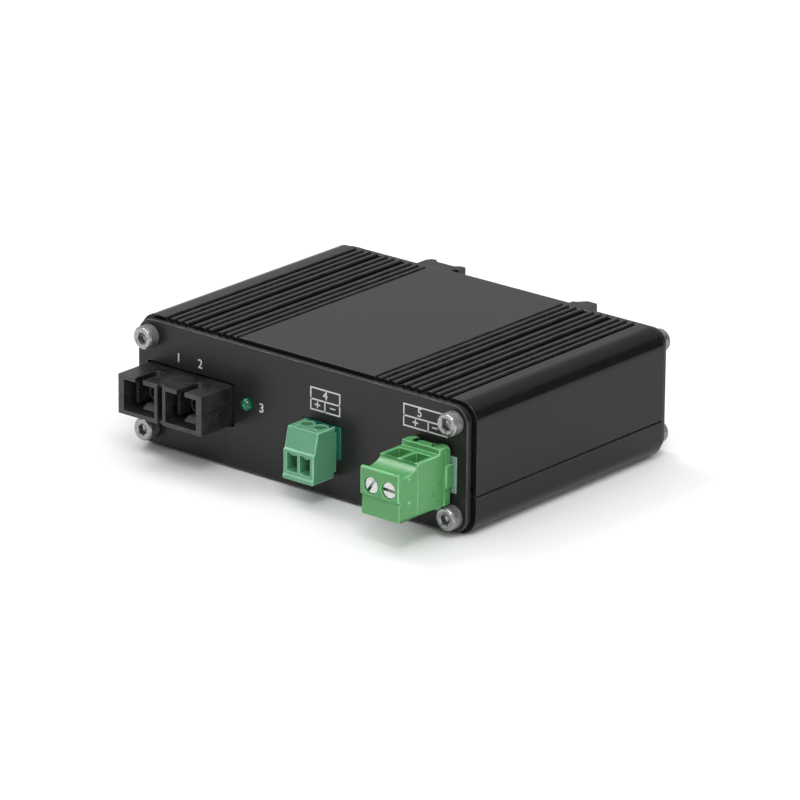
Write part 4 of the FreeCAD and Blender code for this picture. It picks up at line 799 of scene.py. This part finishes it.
def slotted_screw(node, slot_turn):
    """A detailed screw for one clamp screw node, whose sizes are read from the node's box."""
    kind = screw_kinds[node.split("_")[0]]
    facing, head = kind["facing"], kind["head"]
    low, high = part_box(node)
    middle = (low + high) / 2
    along = 1 if facing[1] else 2
    radius = (high.x - low.x) / 2
    length = high[along] - low[along]
    shank = radius * kind["shank_share"]
    deselect()
    bpy.ops.mesh.primitive_cylinder_add(vertices=64, radius=radius, depth=head, location=(0, 0, -head / 2))
    screw = bpy.context.object
    bpy.ops.object.transform_apply(location=True, rotation=True, scale=True)
    begin_edit(screw)
    bpy.ops.mesh.select_mode(type="FACE")
    bpy.ops.mesh.select_all(action="DESELECT")
    shape = bmesh.from_edit_mesh(screw.data)
    for face in shape.faces:
        face.select_set(face.normal.z < -0.9)
    bmesh.update_edit_mesh(screw.data)
    bpy.ops.mesh.inset(thickness=radius - shank)
    bpy.ops.mesh.extrude_region_move(TRANSFORM_OT_translate={"value": (0, 0, head - length)})
    bpy.ops.object.mode_set(mode="OBJECT")
    bar = Vector((radius * 1.2, slot_width / 2, slot_depth))
    combine(screw, block_between(-bar, bar), "sawn_slot", "DIFFERENCE")
    soften(screw, edge_width)
    screw.data.materials.append(finishes[slot_of[node]])
    top = Vector(middle)
    top[along] = low[along] if facing[1] < 0 else high[along]
    screw.name = node + "_finished"
    set_down(screw.data, top, facing, slot_turn)
    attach(screw, body_of[node])
    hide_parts(node)
    return screw


slot_turns = {"power_clamp_screw_1": 55.0, "power_clamp_screw_2": -2.0,
              "data_clamp_screw_1": 20.0, "data_clamp_screw_2": 75.0}
for node, angle in slot_turns.items():
    screw = slotted_screw(node, math.radians(angle))
    print(screw.name, len(screw.data.polygons), "faces")

# %% [markdown]
# ## The status lamp
# The lamp is a clear green lens with a round tip. The upper half of a sphere is kept, flattened a little, and
# its open edge is extruded down through the plate's hole to the flange behind it.

# %% Lamp lens
low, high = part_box("status_lamp")
lamp_flange_radius = (high.x - low.x) / 2
lamp_radius = 1.5 * millimetre
lamp_dome = 1.25 * millimetre
lamp_length = high.y - low.y
flange_thickness = 1.0 * millimetre
deselect()
bpy.ops.mesh.primitive_uv_sphere_add(segments=48, ring_count=24, radius=lamp_radius, location=(0, 0, 0))
lamp = bpy.context.object
lamp.name = "status_lamp_lens"
begin_edit(lamp)
bpy.ops.mesh.bisect(plane_co=(0, 0, 0), plane_no=(0, 0, 1), clear_inner=True)
bpy.ops.mesh.select_all(action="SELECT")
bpy.ops.transform.resize(value=(1, 1, lamp_dome / lamp_radius), center_override=(0, 0, 0))
choose_points(lambda place: abs(place.z) < 0.001 * millimetre)
collar = lamp_dome + flange_thickness - lamp_length
grow_rings([(lamp_radius, 0), (lamp_radius, collar), (lamp_flange_radius, collar),
            (lamp_flange_radius, lamp_dome - lamp_length)])
bpy.ops.mesh.edge_face_add()
close_and_settle()
bpy.ops.object.shade_smooth_by_angle(angle=math.radians(40))
lamp.data.materials.append(finishes["lamp_green"])
lamp_tip = Vector(((low.x + high.x) / 2, low.y + lamp_dome, (low.z + high.z) / 2))
lamp.data.transform(Matrix.Translation(lamp_tip) @ Matrix.Rotation(math.radians(90), 4, "X"))
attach(lamp, "case")
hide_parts("status_lamp")
print("lamp lens:", len(lamp.data.polygons), "faces")

# %% [markdown]
# ## Printing on the front plate
# The plate is screen printed in white: a label by each port and framed fields over the two terminals. Ink
# stands about a fiftieth of a millimetre proud. The labels here are plain numbers and signs, so the numbers are
# text turned into a mesh, and each field is a thin plate, inset and hollowed to leave its lines.

# %% Ink and label helpers
plate_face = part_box("front_plate")[0].y
ink_thickness = 0.02 * millimetre
ink_spread = 0.035 * millimetre
line_width = 0.36 * millimetre
ink = finish("white_ink", grey(0.50), grey(0.60), 0.5, 0.06, 2600.0, 0.01, 900.0, specular=0.4)


def on_plate(piece, x, z):
    """Stands a flat piece up on the plate's face, with its own origin at x and z, in millimetres."""
    stand = Matrix.Rotation(math.radians(90), 4, "X")
    piece.data.transform(Matrix.Translation(Vector((x * millimetre, plate_face, z * millimetre))) @ stand)
    piece.data.materials.clear()
    piece.data.materials.append(ink)
    return piece


def printed_word(text, x, z, size):
    """A centred number or sign on the plate."""
    deselect()
    bpy.ops.object.text_add(location=(0, 0, 0))
    word = bpy.context.object
    word.data.body = text
    word.data.size = size * millimetre
    word.data.align_x = "CENTER"
    word.data.align_y = "CENTER"
    word.data.extrude = ink_thickness
    word.data.offset = ink_spread
    bpy.ops.object.convert(target="MESH")
    return on_plate(bpy.context.object, x, z)


def printed_field(x0, x1, z0, z1, hollow=False):
    """A printed rectangle between limits in millimetres: filled, or only its outline of line width."""
    deselect()
    bpy.ops.mesh.primitive_plane_add(size=1.0, location=(0, 0, 0))
    field = bpy.context.object
    field.scale = ((x1 - x0) * millimetre, (z1 - z0) * millimetre, 1)
    bpy.ops.object.transform_apply(location=True, rotation=True, scale=True)
    begin_edit(field)
    if hollow:
        bpy.ops.mesh.inset(thickness=line_width)
        bpy.ops.mesh.delete(type="FACE")
        bpy.ops.mesh.select_all(action="SELECT")
    bpy.ops.mesh.extrude_region_move(TRANSFORM_OT_translate={"value": (0, 0, ink_thickness)})
    close_and_settle()
    return on_plate(field, (x0 + x1) / 2, (z0 + z1) / 2)


# %% [markdown]
# Each label is joined into one piece and rides on the case, since its ink is part of the plate. The places are in
# millimetres from the middle of the case and up from its underside, as they were measured on the picture.

# %% Print the labels
def terminal_field(x0, x1, z0, z1, middle, divider):
    """The framed field over a terminal: one row over two."""
    half = line_width / millimetre / 2
    return [printed_field(x0, x1, z0, z1, hollow=True), printed_field(x0, x1, middle - half, middle + half),
            printed_field(divider - half, divider + half, z0, middle)]


def ride_as_print(pieces, name):
    """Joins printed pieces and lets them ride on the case."""
    label = joined_pieces(pieces, name)
    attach(label, "case")
    print(label.name, len(label.data.polygons), "faces")


data_field = terminal_field(3.15, 12.05, 20.15, 25.7, 22.8, 7.5)
data_signs = [printed_word("4", 7.6, 24.2, 2.9),
              printed_word("+", 5.3, 21.45, 3.2),
              printed_word("−", 9.8, 21.45, 3.2)]
ride_as_print(data_field + data_signs, "data_terminal_label")
power_field = terminal_field(30.45, 43.3, 22.65, 28.1, 25.2, 37.7)
power_signs = [printed_word("5", 35.2, 26.6, 2.9),
               printed_word("+", 34.0, 23.9, 3.2),
               printed_word("−", 39.6, 23.9, 3.2)]
ride_as_print(power_field + power_signs, "power_terminal_label")
ride_as_print([printed_word("1", -36.6, 23.2, 3.1),
               printed_word("2", -30.0, 23.2, 3.1)], "port_labels")
ride_as_print([printed_word("3", -11.4, 16.8, 3.1)], "lamp_label")

# %% [markdown]
# ## The latch spring
# Behind the clip's pocket a coil spring pushes the latch home. Its wire starts as a small circle that stands
# beside the Z axis. The Screw modifier carries the circle round the axis and up it, and the ends are closed. Seen
# from the case, one end of a pressed spring stays on its post; here the coil keeps its free length and rides
# with the part that carries the spring's solid.

# %% Wind the spring
low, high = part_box("clip_spring")
middle = (low + high) / 2
wire_radius = 0.25 * millimetre
wire_corners = 10
spring_turns = 5
steps_per_turn = 24
coil_radius = (high.z - low.z) / 2 - wire_radius
free_length = high.x - low.x
deselect()
bpy.ops.mesh.primitive_circle_add(vertices=wire_corners, radius=wire_radius,
                                  location=(coil_radius, 0, wire_radius), rotation=(math.radians(90), 0, 0))
spring = bpy.context.object
spring.name = "clip_spring_coil"
bpy.ops.object.transform_apply(location=True, rotation=True, scale=True)
apply_modifier(spring, "SCREW", "coil", axis="Z", angle=math.tau, iterations=spring_turns, steps=steps_per_turn,
               render_steps=steps_per_turn, screw_offset=(free_length - 2 * wire_radius) / spring_turns)
begin_edit(spring)
bpy.ops.mesh.fill_holes(sides=0)
close_and_settle()
bpy.ops.object.shade_smooth_by_angle(angle=math.radians(50))
spring.data.transform(Matrix.Translation((low.x, middle.y, middle.z)) @ Matrix.Rotation(math.radians(90), 4, "Y"))
spring.data.materials.append(finishes["spring_steel"])
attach(spring, body_of["clip_spring"])
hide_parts("clip_spring")
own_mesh(spring)
print("spring:", spring_turns, "turns,", round(free_length / millimetre, 2), "mm free,",
      len(spring.data.polygons), "faces")
